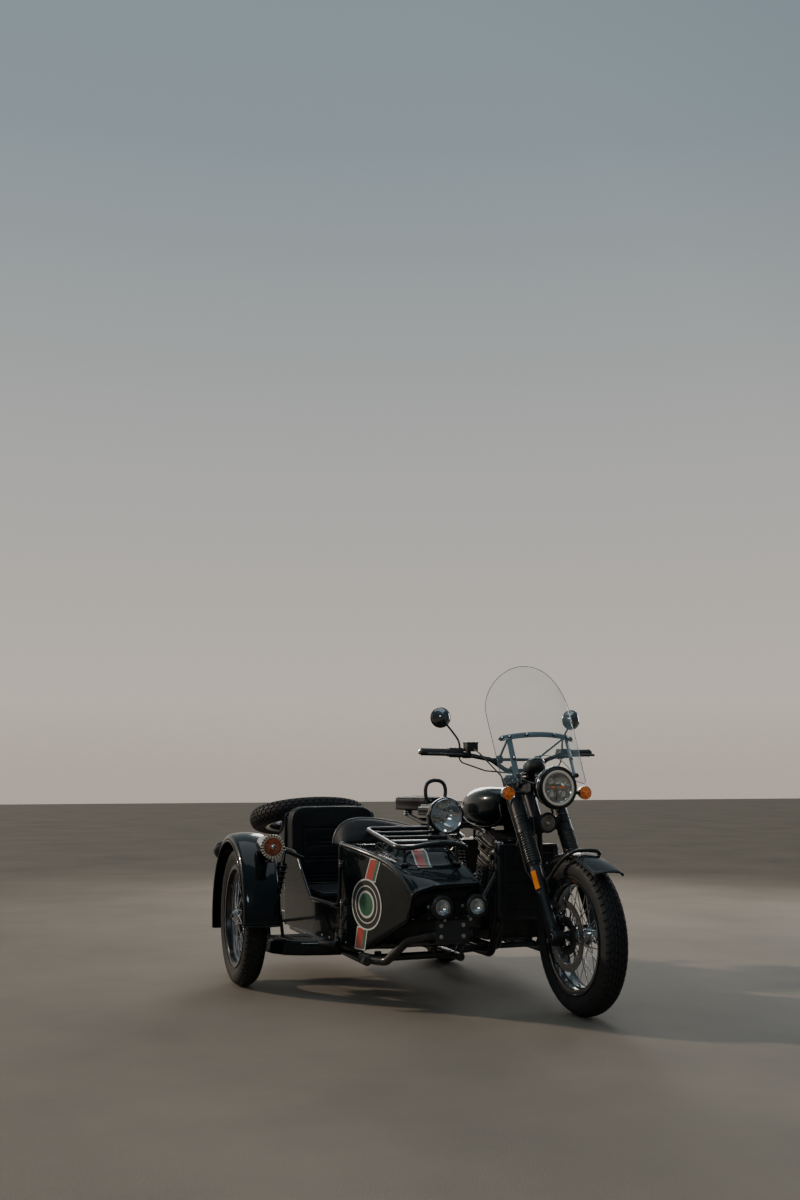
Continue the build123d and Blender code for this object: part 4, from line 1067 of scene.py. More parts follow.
# fasteners of the nose panel
fix = Parts()
for y, z in ((-905, 612), (-926, 437), (-908, 300)):
    x = side_x(y, z)
    fix.turned([(0, 0), (0, 15), (2, 15), (2.5, 9), (8, 8), (8, 0)], (x, y, z), (-1, 0, 0.05), 20, 0)
    fix.box((x - 15, y, z), 7, 7, 34, 1, ch=2)
    fix.turned([(0, 0), (0, 6), (14, 6), (15, 4), (15, 0)], (x - 4, y, z), (-1, 0, 0), 14, 1)
for k in range(9):
    y = -960 - 48 * k
    fix.dome((interp(OUTER, y) + 52, y, interp(EDGE, y) - 6), (0, 0.15, 1), 5, 3, 1)
for y in (-1030, -940, -850, -760, -670, -580):
    fix.dome((interp(OUTER, y) - 1.5, y, 262), (-1, 0, 0), 5.5, 3, 1)
for x in (-690, -620, -490, -430):
    fix.dome((x, -1352, 404), (0, -1, -0.6), 5, 3, 1)
for y in (-20, 20):
    for z in (300, 420, 540):
        fix.dome((interp(OUTER, y) - 5, y + 30, z), (-1, 0, 0), 5, 3, 1)
fix.build("tub_fasteners", ["satin_black", "steel"], "chassis")

# ----------------------------------------------------------------- wheels
def tyre_profile(h):
    """outer line of half a tyre, from the crown down to the bead, as (across, radius)"""
    rc = ((h - 7) ** 2 + 400.0) / 40.0
    pm = math.asin((h - 7) / rc)
    crown = [(rc * math.sin(pm * k / 16), 333 - rc * (1 - math.cos(pm * k / 16))) for k in range(17)]
    side = catmull([(h - 7, 313), (h - 2.6, 304), (h - 0.4, 294), (h, 284), (h - 1.2, 274), (h - 5, 262), (43.5, 249)], 5)
    return crown + [(p[0], p[1]) for p in side[1:]]


def along(line, s):
    """point and outward normal at arc length s of a 2-D line"""
    sg = 1 if s >= 0 else -1
    s = abs(s)
    acc = 0.0
    for i in range(len(line) - 1):
        a, b = line[i], line[i + 1]
        d = math.hypot(b[0] - a[0], b[1] - a[1])
        if acc + d >= s or i == len(line) - 2:
            t = (s - acc) / d
            p = (a[0] + (b[0] - a[0]) * t, a[1] + (b[1] - a[1]) * t)
            n = (-(b[1] - a[1]) / d, (b[0] - a[0]) / d)
            return (sg * p[0], p[1]), (sg * n[0], n[1])
        acc += d


def tyre_piece(name, node, centre, axis, width, body, pitches, pattern, depth=5.0, up=(0, 0, 1)):
    ax = np.array(axis, float)
    ax /= np.linalg.norm(ax)
    u = np.array(up, float)
    u -= ax * np.dot(u, ax)
    u /= np.linalg.norm(u)
    v = np.cross(ax, u)
    c0 = np.array(centre, float)
    h = width / 2

    def put(x, r, th):
        return tuple(c0 + ax * x + r * (math.cos(th) * u + math.sin(th) * v))

    line = tyre_profile(h)
    smax = sum(math.hypot(line[i + 1][0] - line[i][0], line[i + 1][1] - line[i][1]) for i in range(16)) + 13
    P = Parts()
    # carcass
    half = []
    k = 0.0
    while k < smax - 3:
        p, n = along(line, k)
        dd = depth * (1 - sstep(smax - 14, smax - 4, k))
        half.append((p[0] - n[0] * dd, p[1] - n[1] * dd))
        k += 5.0
    acc = 0.0
    for i in range(len(line) - 1):
        acc += math.hypot(line[i + 1][0] - line[i][0], line[i + 1][1] - line[i][1])
        if acc > smax - 2:
            half.append(line[i + 1])
    ridged = []
    for p in half:
        ridged.append(p)
    ridged += [(45.6, 247.5), (46.4, 244.5), (45.5, 241.5), (43, 239), (40.8, 236), (40.5, 231.9), (30, 231.9)]
    full = [(-x, r) for x, r in reversed(ridged)] + ridged[1:]
    steps = 144
    verts = [put(x, r, 2 * math.pi * i / steps) for i in range(steps) for x, r in full]
    P.add(verts, grid_faces(steps, len(full), True, False), 0)
    # thin ribs on the sidewalls
    for sgn in (-1, 1):
        for s0 in (smax + 6, smax + 17, smax + 33):
            ring = []
            for i in range(96):
                th = 2 * math.pi * i / 96
                row = []
                for ds, dh in ((-1.3, -0.3), (-0.7, 0.9), (0.7, 0.9), (1.3, -0.3)):
                    p, n = along(line, sgn * (s0 + ds))
                    row.append(put(p[0] + n[0] * dh, p[1] + n[1] * dh, th))
                ring.append(row)
            P.add([q for row in ring for q in row], grid_faces(96, 4, True, False), 0)
    # tread blocks
    pitch = 2 * math.pi / pitches
    for s0, s1, frac, phase, skew in pattern:
        s1 = min(max(s1, -smax), smax)
        s0 = min(max(s0, -smax), smax)
        if s0 > s1:
            s0, s1 = s1, s0
        nx = 3
        for i in range(pitches):
            base = (i + phase) * pitch
            top, bot = [], []
            for a in range(nx + 1):
                f = a / nx
                s = s0 + (s1 - s0) * f
                p, n = along(line, s)
                sh = skew * (f - 0.5) * pitch
                tt, bb = [], []
                for b in range(3):
                    g = (b / 2 - 0.5) * frac * pitch
                    tt.append(put(p[0], p[1], base + sh + g * 0.96))
                    bb.append(put(p[0] - n[0] * (depth + 1.0), p[1] - n[1] * (depth + 1.0), base + sh + g * 1.06))
                top.append(tt)
                bot.append(bb)
            vs = [q for r in top for q in r] + [q for r in bot for q in r]
            off = (nx + 1) * 3
            fs = grid_faces(nx + 1, 3)
            rim_i = [a * 3 for a in range(nx + 1)] + [nx * 3 + 1, nx * 3 + 2] + [a * 3 + 2 for a in range(nx - 1, -1, -1)] + [1]
            for a in range(len(rim_i)):
                i0, i1 = rim_i[a], rim_i[(a + 1) % len(rim_i)]
                fs.append((i0, i1, off + i1, off + i0))
            P.add(vs, fs, 0)
    ob = P.build(name, ["tyre"], body, angle=28)
    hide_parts(node)
    return ob


ROAD = [(-6.5, 6.5, 0.93, 0.0, 0.35), (9.5, 22, 0.86, 0.35, 0.30), (-22, -9.5, 0.86, 0.85, -0.30),
        (25, 37.5, 0.80, 0.1, 0.34), (-37.5, -25, 0.80, 0.6, -0.34), (40.5, 90, 0.72, 0.45, 0.12), (-90, -40.5, 0.72, 0.95, -0.12)]
BLOCK = [(-9, 9, 0.80, 0.0, 0.25), (13, 30, 0.76, 0.5, 0.22), (-30, -13, 0.76, 0.5, -0.22), (34, 90, 0.66, 0.0, 0.0),
         (-90, -34, 0.66, 0.0, 0.0)]
tyre_piece("front_tyre_tread", "front_tyre", FRONT_AXLE, (1, 0, 0), 112, "front_wheel", 62, ROAD)
tyre_piece("rear_tyre_tread", "rear_tyre", REAR_AXLE, (1, 0, 0), 120, "rear_wheel", 54, BLOCK, 6.0)
tyre_piece("sidecar_tyre_tread", "sidecar_tyre", SIDE_AXLE, (1, 0, 0), 106, "sidecar_wheel", 62, ROAD)
TILT = math.radians(13.0)
SPARE_C = np.array([-680.0, 400.0, 782.0])
SP_AX = np.array([0.0, math.sin(TILT), math.cos(TILT)])
tyre_piece("spare_tyre_tread", "spare_tyre", SPARE_C, SP_AX, 106, "chassis", 54, BLOCK, 5.5, up=(1, 0, 0))


def wheel_bits(name, centre, axis, up, body, hub_l, hub_r, barrel, drum=None, inner_rim=True):
    ax = np.array(axis, float)
    u = np.array(up, float)
    v = np.cross(ax, u)
    c0 = np.array(centre, float)
    P = Parts()

    def put(x, r, th):
        return c0 + ax * x + r * (math.cos(th) * u + math.sin(th) * v)

    # spoke nipples and hub heads
    for i in range(36):
        side = -1 if i % 2 else 1
        lead = math.radians(38 if (i // 2) % 2 else -38)
        a = 2 * math.pi * i / 36
        b = a + lead
        p_out = put(side * 6, 219, a)
        p_in = put(side * 31.5, 39, b)
        d = (p_in - p_out) / np.linalg.norm(p_in - p_out)
        P.turned([(-3, 4.6), (0, 4.6), (1.5, 3.6), (13, 3.3), (14, 2.4), (14, 0)], p_out, d, 10, 0)
        P.dome(put(side * 35.2, 39, b), ax * side, 4.2, 2.4, 0)
    # rolled rim edges
    for sgn in (-1, 1):
        P.turned([(sgn * 44.6, 246.2), (sgn * 47.6, 246.8), (sgn * 49.2, 244.5), (sgn * 48.6, 241.4), (sgn * 45.5, 240.2)],
                 c0, ax, 120, 2)
        P.turned([(sgn * 36, 224.4), (sgn * 37.5, 222.6), (sgn * 40.5, 222.4), (sgn * 42, 224.6)], c0, ax, 120, 2)
    # valve
    th = 0.35
    P.rod(put(0, 218, th), put(2, 186, th), 4.2, 12, 1)
    P.rod(put(2, 190, th), put(2.4, 181, th), 5.0, 10, 0)
    # hub caps and cooling rings
    P.turned([(-26, barrel + 0.6), (-24, barrel + 4), (-20, barrel + 4), (-18, barrel + 0.6)], c0, ax, 48, 0)
    P.turned([(-8, barrel + 0.6), (-6, barrel + 4), (-2, barrel + 4), (0, barrel + 0.6)], c0, ax, 48, 0)
    P.turned([(10, barrel + 0.6), (12, barrel + 4), (16, barrel + 4), (18, barrel + 0.6)], c0, ax, 48, 0)
    ob = P.build(name, ["chrome", "black_plastic", "gloss_black"], body)
    return ob


wheel_bits("front_wheel_fittings", FRONT_AXLE, (1, 0, 0), (0, 1, 0), "front_wheel", -65, 72, 30)
wheel_bits("rear_wheel_fittings", REAR_AXLE, (1, 0, 0), (0, 1, 0), "rear_wheel", -72, 78, 38)
wheel_bits("sidecar_wheel_fittings", SIDE_AXLE, (1, 0, 0), (0, 1, 0), "sidecar_wheel", -52, 60, 34)
wheel_bits("spare_wheel_fittings", SPARE_C, tuple(SP_AX), (0, math.cos(TILT), -math.sin(TILT)), "chassis", -40, 40, 34)


def drilled_ring(P, centre, x, thick, r0, r1, cells, rows, hole, mi=0, skew=0.5):
    """brake disc rim with staggered holes; axis along x"""
    c0 = np.array(centre, float)
    n = 16
    for i in range(cells):
        for j in range(rows):
            sh = skew * j
            a0, a1 = 2 * math.pi * (i + sh) / cells, 2 * math.pi * (i + 1 + sh) / cells
            ra, rb = r0 + (r1 - r0) * j / rows, r0 + (r1 - r0) * (j + 1) / rows
            am, rm = (a0 + a1) / 2, (ra + rb) / 2
            outer, circ = [], []
            for k in range(n):
                t = 2 * math.pi * (k + 0.5) / n
                cx, cy = math.cos(t), math.sin(t)
                m = max(abs(cx), abs(cy))
                sx, sy = cx / m, cy / m
                aa = am + (a1 - a0) / 2 * sx
                rr = rm + (rb - ra) / 2 * sy
                outer.append((rr * math.cos(aa), rr * math.sin(aa)))
                bx, by = rm * math.cos(am), rm * math.sin(am)
                ex = np.array([-math.sin(am), math.cos(am)])
                er = np.array([math.cos(am), math.sin(am)])
                q = np.array([bx, by]) + hole * (cx * ex + cy * er)
                circ.append((q[0], q[1]))
            vs, fs = [], []
            for xx in (x - thick / 2, x + thick / 2):
                for ring in (outer, circ):
                    vs += [tuple(c0 + np.array([xx, q[0], q[1]])) for q in ring]
            for k in range(n):
                k2 = (k + 1) % n
                fs.append((k, k2, n + k2, n + k))
                fs.append((2 * n + k, 3 * n + k, 3 * n + k2, 2 * n + k2))
                fs.append((n + k, n + k2, 3 * n + k2, 3 * n + k))
            P.add(vs, fs, mi)
    # edges
    for r in (r0, r1):
        P.turned([(x - thick / 2, r), (x + thick / 2, r)], centre, (1, 0, 0), 160, mi)


D = Parts()
drilled_ring(D, FRONT_AXLE, -67.5, 4.6, 118, 149, 42, 2, 3.6)
for k in range(10):
    a = 2 * math.pi * k / 10 + 0.1
    ca, sa = math.cos(a), math.sin(a)
    e1, e2, e3 = np.array([1, 0, 0]), np.array([0, -sa, ca]), np.array([0, ca, sa])
    c = np.array(FRONT_AXLE) + np.array([-67.5, 0, 0])
    D.box(c + e3 * 95, 4.2, 9, 40, 1, rot=(e1, e2, e3), ch=1)
    D.turned([(-4, 0), (-4, 6.5), (4, 6.5), (4, 0)], c + e3 * 114.5, (1, 0, 0), 16, 2)
D.turned([(-71, 60), (-64, 60), (-64, 79), (-71, 79), (-71, 60)], FRONT_AXLE, (1, 0, 0), 64, 1)
D.turned([(-71.5, 41), (-62, 41), (-62, 61), (-71.5, 61)], FRONT_AXLE, (1, 0, 0), 64, 1)
for k in range(5):
    a = 2 * math.pi * k / 5
    D.hexbolt(np.array(FRONT_AXLE) + np.array([-71.5, 50 * math.cos(a), 50 * math.sin(a)]), (-1, 0, 0), 5.5, 5, 2, washer=False)
ob = D.build("front_disc_plate", ["ground_steel", "dark_alloy", "steel"], "front_wheel")
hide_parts("front_disc")

# ------------------------------------------------------------------ lamps
def ring_axis(c, y):
    return (c[0], c[1] + y, c[2])


def head_lamp(tag, c, R, tail, body, node, style):
    """round lamp facing forward; c is the centre of its front face"""
    k = R / 97.5
    shell = [(6 * k, 84 * k), (4 * k, 90 * k), (5 * k, 95 * k), (9 * k, 97.3 * k), (26 * k, 97.3 * k), (31 * k, 95 * k),
             (33 * k, 91 * k)] + [(p[0], p[1]) for p in catmull(tail, 6)]
    ob = lathe(tag + "_shell", shell, c, (0, 1, 0), "gloss_black", body, 96, 40)
    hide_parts(node)
    bz = lathe(tag + "_bezel", [(8 * k, 80 * k), (2 * k, 81 * k), (0.5 * k, 84 * k), (1.5 * k, 88 * k), (5 * k, 91 * k), (8 * k, 91 * k)],
               c, (0, 1, 0), "chrome" if style == "rack" else "satin_black", body, 96)
    bowl = [(4 * k, 81 * k)] + [(58 * k - 54 * k * (r / (81 * k)) ** 2, r) for r in [R * 0.82 * (1 - i / 14) for i in range(1, 14)]]
    bowl += [(58 * k, 9 * k), (58 * k, 0)]
    lathe(tag + "_reflector", bowl, c, (0, 1, 0), "reflector_cup" if style == "rack" else "lamp_silver", body, 96)
    lathe(tag + "_glass", [(2 * k, 81.5 * k), (0.5 * k, 80 * k), (-2.5 * k, 60 * k), (-4.2 * k, 40 * k), (-5.2 * k, 20 * k), (-5.6 * k, 0)],
          ring_axis(c, 6.2 * k), (0, 1, 0), "glass", body, 96)
    return ob


# front lamp: light ring round a divided reflector
head_lamp("front_lamp", (0, -1400, 960), 97.5, [(36, 91), (70, 89), (120, 69), (150, 46), (163, 20), (167, 0)], "fork",
          "headlight", "ring")
c = (0, -1400, 960)
lathe("front_lamp_light_ring", [(9, 80), (4.5, 79), (3, 74.5), (4.5, 70), (9, 69)], c, (0, 1, 0), "led_core", "fork", 96)
lathe("front_lamp_inner_rim", [(8, 69), (5, 68.5), (4, 66), (6, 63.5), (12, 63)], c, (0, 1, 0), "chrome", "fork", 96)
lp = Parts()
lp.box((0, -1380, 963), 128, 22, 7, 0, ch=2)
for z0, z1 in ((899, 960),):
    lp.box((0, -1378, 930), 5, 20, 58, 0, ch=1.5)
for x in (-30, 30):
    lp.turned([(0, 21), (3, 19), (16, 14), (20, 6), (20, 0)], (x, -1391, 934), (0, 1, 0), 28, 1)
    lp.turned([(-3, 21.5), (-3, 19), (1, 19), (3, 21.5)], (x, -1389, 934), (0, 1, 0), 28, 0)
for x in (-34, 0, 34):
    lp.turned([(0, 15), (3, 14), (14, 9), (16, 0)], (x, -1389, 990), (0, 1, 0), 24, 1)
    lp.dome((x, -1380, 990), (0, -1, 0), 6, 6, 2)
# two amber glowing patches on the centre bar: a painted orange reflection
for x in (-22, 22):
    lp.box((x, -1391.5, 963), 26, 3, 9, 3, ch=1.2)
lp.build("front_lamp_insides", ["chrome", "lamp_silver", "clear_lens", "amber"], "fork")
lathe("front_lamp_trim", [(26, 97.6), (27, 99), (30, 99), (31, 96)], c, (0, 1, 0), "chrome", "fork", 96)

# lamp on the rack
head_lamp("rack_lamp_unit", (-385, -1000, 826), 87.5, [(32, 81), (50, 80), (62, 77), (90, 62), (110, 40), (121, 18), (125, 0)],
          "chassis", "rack_lamp", "rack")
c = (-385, -1000, 826)
lp = Parts()
lp.turned([(22, 0), (22, 13), (26, 15), (48, 15), (52, 10)], c, (0, 1, 0), 28, 0)
lp.dome((c[0], c[1] + 22, c[2]), (0, -1, 0), 13, 5, 1)
for s in (-1, 1):
    lp.rod((c[0] + s * 12, c[1] + 30, c[2]), (c[0] + s * 60, c[1] + 30, c[2] - 2), 1.6, 8, 0)
# fork-shaped bracket with its post and knob
for s in (-1, 1):
    lp.box((c[0] + s * 78, c[1] + 45, c[2] - 26), 5, 20, 70, 2, ch=1.5)
    lp.hexbolt((c[0] + s * 80.5, c[1] + 45, c[2] + 2), (s, 0, 0), 7, 6, 3)
lp.box((c[0], c[1] + 45, c[2] - 91), 150, 24, 6, 2, ch=1.5)
for s in (-1, 1):
    ax1 = np.array([s * 0.35, 0, -0.94])
    lp.box((c[0] + s * 72, c[1] + 45, c[2] - 74), 5, 20, 42, 2, rot=(np.array([0.94 * s, 0, 0.35]), np.array([0, 1.0, 0]), ax1), ch=1)
lp.rod((c[0], c[1] + 48, c[2] - 116), (c[0], c[1] + 48, c[2] - 86), 9, 16, 2)
lp.hexbolt((c[0], c[1] + 48, c[2] - 88), (0, 0, 1), 9, 9, 3)
lp.box((-401, -950, 728), 64, 34, 18, 2, ch=2)
lp.rod((c[0], c[1] + 120, c[2] - 20), (c[0] + 2, c[1] + 100, c[2] - 100), 3, 8, 2)
lp.build("rack_lamp_fittings", ["reflector_cup", "chrome", "satin_black", "steel"], "chassis")

# spot lamps under the lip
sp = Parts()
for x in (-607, -449):
    c = (x, -1490, 463)
    sp.turned([(6, 33), (1, 34), (-1, 37), (0, 42), (3, 47), (9, 49), (24, 49), (27, 44), (34, 40), (60, 34), (68, 26), (68, 0)],
              c, (0, 1, 0), 64, 0)
    for k in range(26):
        a = 2 * math.pi * k / 26
        e2 = np.array([math.cos(a), 0, math.sin(a)])
        e3 = np.array([-math.sin(a), 0, math.cos(a)])
        sp.box(np.array(c) + e2 * 49.2 + np.array([0, 14, 0]), 22, 4.6, 5.4, 0, rot=(np.array([0, 1.0, 0]), e3, e2), ch=1.2)
    sp.turned([(4, 33.5), (1, 32.5), (1.5, 30), (6, 29)], c, (0, 1, 0), 48, 1)
    sp.turned([(5, 30), (14, 24), (22, 12), (24, 0)], c, (0, 1, 0), 48, 2)
    sp.turned([(9, 0), (9, 7), (12, 9), (22, 9)], c, (0, 1, 0), 24, 1)
    sp.turned([(3.5, 30), (0.5, 22), (-1.2, 10), (-1.6, 0)], c, (0, 1, 0), 48, 3)
    for s in (-1, 1):
        sp.box((x + s * 50, -1452, 452), 4, 14, 60, 0, ch=1)
        sp.hexbolt((x + s * 52, -1452, 463), (s, 0, 0), 6, 5, 4)
    sp.box((x, -1452, 421), 104, 14, 5, 0, ch=1.2)
ob = sp.build("spot_lamps", ["satin_black", "chrome", "reflector_cup", "glass", "steel"], "chassis")
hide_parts("nose_lamps")

# bolts of the plate and its side ear
pb = Parts()
pc = (-553.0, -1462.0, 362.0)
for sx in (-1, 1):
    for sz in (-1, 1):
        pb.hexbolt((pc[0] + sx * 51, pc[1], pc[2] + sz * 23), (0, -1, 0), 6.6, 5.5, 0)
for x, z in ((-590, 423), (-590, 408), (-478, 424), (-470, 408)):
    pb.hexbolt((x, -1466, z), (0, -1, 0), 5.2, 5, 0)
pb.box((-607, -1459, 408), 30, 8, 60, 1, ch=2)
pb.box((-464, -1459, 408), 40, 8, 60, 1, ch=2)
pb.box((-553, -1452, 318), 120, 10, 24, 1, ch=2)
pb.build("nose_plate_bolts", ["steel", "satin_black"], "chassis")

# ring signal with a bright body on the mudguard, and the rear one
rs = Parts()
c = (-1176, -792, 687)
for k in range(24):
    a = 2 * math.pi * k / 24
    e2 = np.array([math.cos(a), 0, math.sin(a)])
    e3 = np.array([-math.sin(a), 0, math.cos(a)])
    rs.box(np.array(c) + e2 * 49 + np.array([0, 4, 0]), 14, 7.4, 15, 0, rot=(np.array([0, 1.0, 0]), e3, e2), ch=2)
rs.turned([(1, 41), (-3, 36), (-5, 22), (-5.5, 10), (-5.5, 0)], c, (0, 1, 0), 64, 1)
rs.turned([(-3, 12), (-9, 11), (-12, 7), (-13, 0)], c, (0, 1, 0), 28, 2)
rs.turned([(6, 41), (6, 55), (10, 56), (14, 55), (18, 48), (20, 43)], c, (0, 1, 0), 64, 3)
rs.turned([(18, 44), (22, 45), (150, 45), (172, 43), (190, 37), (200, 26), (204, 0)], c, (0, 1, 0), 64, 2)
rs.turned([(10, 40.5), (4, 41.5), (2, 41.5), (2, 38)], c, (0, 1, 0), 64, 2)
rs.rod((c[0], c[1] + 52, c[2] - 40), (c[0], c[1] + 60, c[2] - 74), 8, 14, 3)
rs.box((c[0], c[1] + 62, c[2] - 70), 34, 30, 8, 3, ch=2)
c = (-1243, 30, 625)
rs.turned([(44, 0), (44, 34), (40, 42), (28, 47), (10, 47), (0, 40), (-4, 30), (-6, 0)], c, (0, 1, 0), 48, 3)
rs.turned([(44, 36), (50, 30), (54, 16), (55, 0)], c, (0, 1, 0), 48, 4)
rs.turned([(40, 43), (46, 42.5), (48, 38), (45, 35)], c, (0, 1, 0), 48, 2)
ob = rs.build("mudguard_signals", ["cream_paint", "amber_deep", "chrome", "satin_black", "red_lens"], "chassis")
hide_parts("mudguard_lamps")

# front signals
for s, tag in ((-1, "right"), (1, "left")):
    c = (s * 198, -1292, 935)
    P = Parts()
    P.turned([(6, 29), (2, 28.5), (-1, 24), (-3, 12), (-3.4, 0)], c, (0, 1, 0), 40, 0)
    P.turned([(4, 29), (3, 31), (8, 31.6), (16, 31), (20, 30)] + [(p[0], p[1]) for p in catmull([(20, 30), (34, 27), (48, 18), (56, 0)], 5)],
             c, (0, 1, 0), 40, 1)
    P.turned([(5, 26), (12, 20), (22, 8), (24, 0)], c, (0, 1, 0), 32, 2)
    ob = P.build(f"front_signal_{tag}", ["amber", "chrome", "reflector_cup"], "fork")
    if s < 0:
        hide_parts("front_signals")
    st = tube(f"signal_stalk_{tag}", [(s * 100, -1239, 935), (s * 135, -1248, 935), (s * 172, -1262, 935), (s * 186, -1270, 935)], 8.5,
              "rubber", "fork", smooth=5, sides=14)

# ------------------------------------------------------------ soft pieces
def pad(name, outline, plane, height, mat, body, node=None, rise=14.0, edge=16.0, channels=None, rings=18, seg=5, base_in=4.0,
        waist=5.0, rim_drop=0.0):
    """crowned closed cushion over a flat outline.

    outline: closed list of (a, b); plane: (origin, axis a, axis b, axis up); height: thickness;
    channels(a, b) gives how far the cover is drawn down at a point"""
    o, ea, eb, eu = [np.array(v, float) for v in plane]
    pts = [np.array(p, float) for p in catmull([(p[0], p[1], 0) for p in outline], seg, closed=True)]
    pts = np.array([[p[0], p[1]] for p in pts])
    cen = pts.mean(axis=0)
    n = len(pts)
    nxt, prv = np.roll(pts, -1, axis=0), np.roll(pts, 1, axis=0)
    tan = nxt - prv
    tan /= np.linalg.norm(tan, axis=1)[:, None] + 1e-9
    nor = np.stack([tan[:, 1], -tan[:, 0]], axis=1)
    area = 0.5 * np.sum(pts[:, 0] * nxt[:, 1] - nxt[:, 0] * pts[:, 1])
    if area < 0:
        nor = -nor
    rows = []

    def row(inset_pts, hfun):
        rows.append([tuple(o + ea * p[0] + eb * p[1] + eu * hfun(p)) for p in inset_pts])

    inner = pts - nor * edge

    def top(p, f):
        h = height + rise * (1 - f ** 2.2)
        if channels:
            h -= channels(p[0], p[1])
        return h
    for k in range(1, rings + 1):
        f = k / rings
        row([cen + (p - cen) * f for p in inner], lambda p, f=f: top(p, f))
    for k in range(1, 9):
        a = math.pi / 2 * k / 8
        ins = edge * (1 - math.sin(a))
        row(pts - nor * ins, lambda p, a=a: height - edge * (1 - math.cos(a)))
    low = max(base_in, 0)
    for k in range(1, 7):
        t = k / 6
        z = (height - edge) * (1 - t) + base_in * t
        row(pts - nor * (waist * math.sin(math.pi * t)), lambda p, z=z: z)
    row(pts - nor * 6, lambda p: 0.0)
    row([cen + (p - cen) * 0.5 for p in pts], lambda p: 0.0)
    row([cen + (p - cen) * 0.02 for p in pts], lambda p: 0.0)
    rows.insert(0, [tuple(o + ea * (cen[0] + (p[0] - cen[0]) * 0.01) + eb * (cen[1] + (p[1] - cen[1]) * 0.01) + eu * top(cen, 0))
                    for p in inner])
    ob = grid(name, rows, mat, body, close_v=True)
    me = ob.data
    ob.data.update()
    if node:
        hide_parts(node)
    # piping along the upper edge; its grey, lighter than the leather, is partly a painted highlight along the edge
    a = math.pi / 4
    pp = [tuple(o + ea * q[0] + eb * q[1] + eu * (height - edge * (1 - math.cos(a)) + 1.0))
          for q in (pts - nor * (edge * (1 - math.sin(a)) - 1.0))]
    tube(name + "_piping", pp[::2], 2.6, "piping_painted_highlight" if mat == "leather" else mat, body, smooth=1, sides=8, closed=True)
    return ob


def groove(d, w):
    """sewn channel: 1 at the seam, 0 a width away"""
    return math.exp(-(d / w) ** 2)


def back_channels(a, b):
    # a across from the middle, b up
    inside = 1 - sstep(150, 166, abs(a))
    h = 0.0
    for z in (669, 649, 592, 573, 492, 475):
        h += 6.0 * groove(b - z, 4.2) * inside
    h += 3.5 * groove(abs(a) - 160, 5.0) * (1 - sstep(725, 745, b))
    h += 3.5 * groove(b - 737, 5.0) * (1 - sstep(150, 166, abs(a)))
    h += 0.9 * math.sin(a * 0.05 + b * 0.021) + 0.7 * math.sin(b * 0.047 - a * 0.02)
    return h


BACK = [(-221, 449), (-225, 540), (-229, 700), (-228, 790), (-214, 826), (-178, 846), (-94, 851), (0, 852), (94, 851), (178, 846),
        (214, 826), (228, 790), (229, 700), (225, 540), (221, 449), (120, 446), (0, 445), (-120, 446)]
pad("sidecar_backrest_cushion", BACK, ((-666, 34, 0), (1, 0, 0), (0, 0, 1), (0, -1, 0)), 88, "leather", "chassis",
    "sidecar_backrest", rise=16, edge=20, channels=back_channels, rings=64, seg=9, base_in=4)


def seat_channels(a, b):
    h = 0.0
    for y in (-200, -290, -380, -470):
        h += 6.0 * groove(b - y, 5.0) * (1 - sstep(150, 172, abs(a)))
    h += 3.5 * groove(abs(a) - 165, 5.0)
    h += 1.0 * math.sin(a * 0.04 + b * 0.03) + 0.8 * math.sin(b * 0.05)
    return h


SEAT = [(-208, -548), (-100, -556), (0, -558), (100, -556), (208, -548), (213, -470), (213, -330), (213, -180), (208, -96),
        (100, -92), (0, -92), (-100, -92), (-208, -96), (-213, -180), (-213, -330), (-213, -470)]
pad("sidecar_seat_cushion", SEAT, ((-647, 0, 393), (1, 0, 0), (0, 1, 0), (0, 0, 1)), 56, "leather", "chassis",
    "sidecar_cushion", rise=11, edge=20, channels=seat_channels, rings=56, seg=8)


def saddle_dish(a, b):
    h = -16 * sstep(-60, 30, b) + 5 * math.exp(-((b + 190) / 90.0) ** 2)
    h += 2.6 * groove(abs(a) - (26 + 74 * sstep(-400, -120, b)), 3.5) * sstep(-420, -380, b)
    for k in range(5):
        y = -40 - 38 * k
        h += 3.0 * groove(b - y, 3.6) * (1 - sstep(60, 84, abs(a)))
    return h


pad("rider_saddle_cover", [(-60, -438), (-78, -400), (-92, -330), (-118, -250), (-146, -190), (-164, -100), (-166, -50), (-150, 8),
                           (-96, 28), (0, 31), (96, 28), (150, 8), (166, -50), (164, -100), (146, -190), (118, -250), (92, -330),
                           (78, -400), (60, -438), (0, -444)],
    ((0, 0, 798), (1, 0, 0), (0, 1, 0), (0, 0, 1)), 46, "leather", "chassis", "rider_saddle", rise=10, edge=18,
    channels=saddle_dish, rings=44, seg=6, waist=3)


def pill_dish(a, b):
    h = 4 * math.exp(-((b - 300) / 90.0) ** 2)
    h += 2.6 * groove(abs(a) - (40 + 50 * sstep(150, 350, b)), 3.5)
    for k in range(6):
        h += 3.0 * groove(b - (200 + 38 * k), 3.6) * (1 - sstep(46, 70, abs(a)))
    return h


pad("pillion_saddle_cover", [(-56, 131), (-78, 180), (-108, 240), (-131, 310), (-139, 400), (-126, 450), (-96, 478), (-40, 487), (0, 488),
                             (40, 487), (96, 478), (126, 450), (139, 400), (131, 310), (108, 240), (78, 180), (56, 131), (0, 127)],
    ((0, 0, 817), (1, 0, 0), (0, 1, 0), (0, 0, 1)), 77, "leather", "chassis", "pillion_saddle", rise=9, edge=26,
    channels=pill_dish, rings=40, seg=6, waist=3)

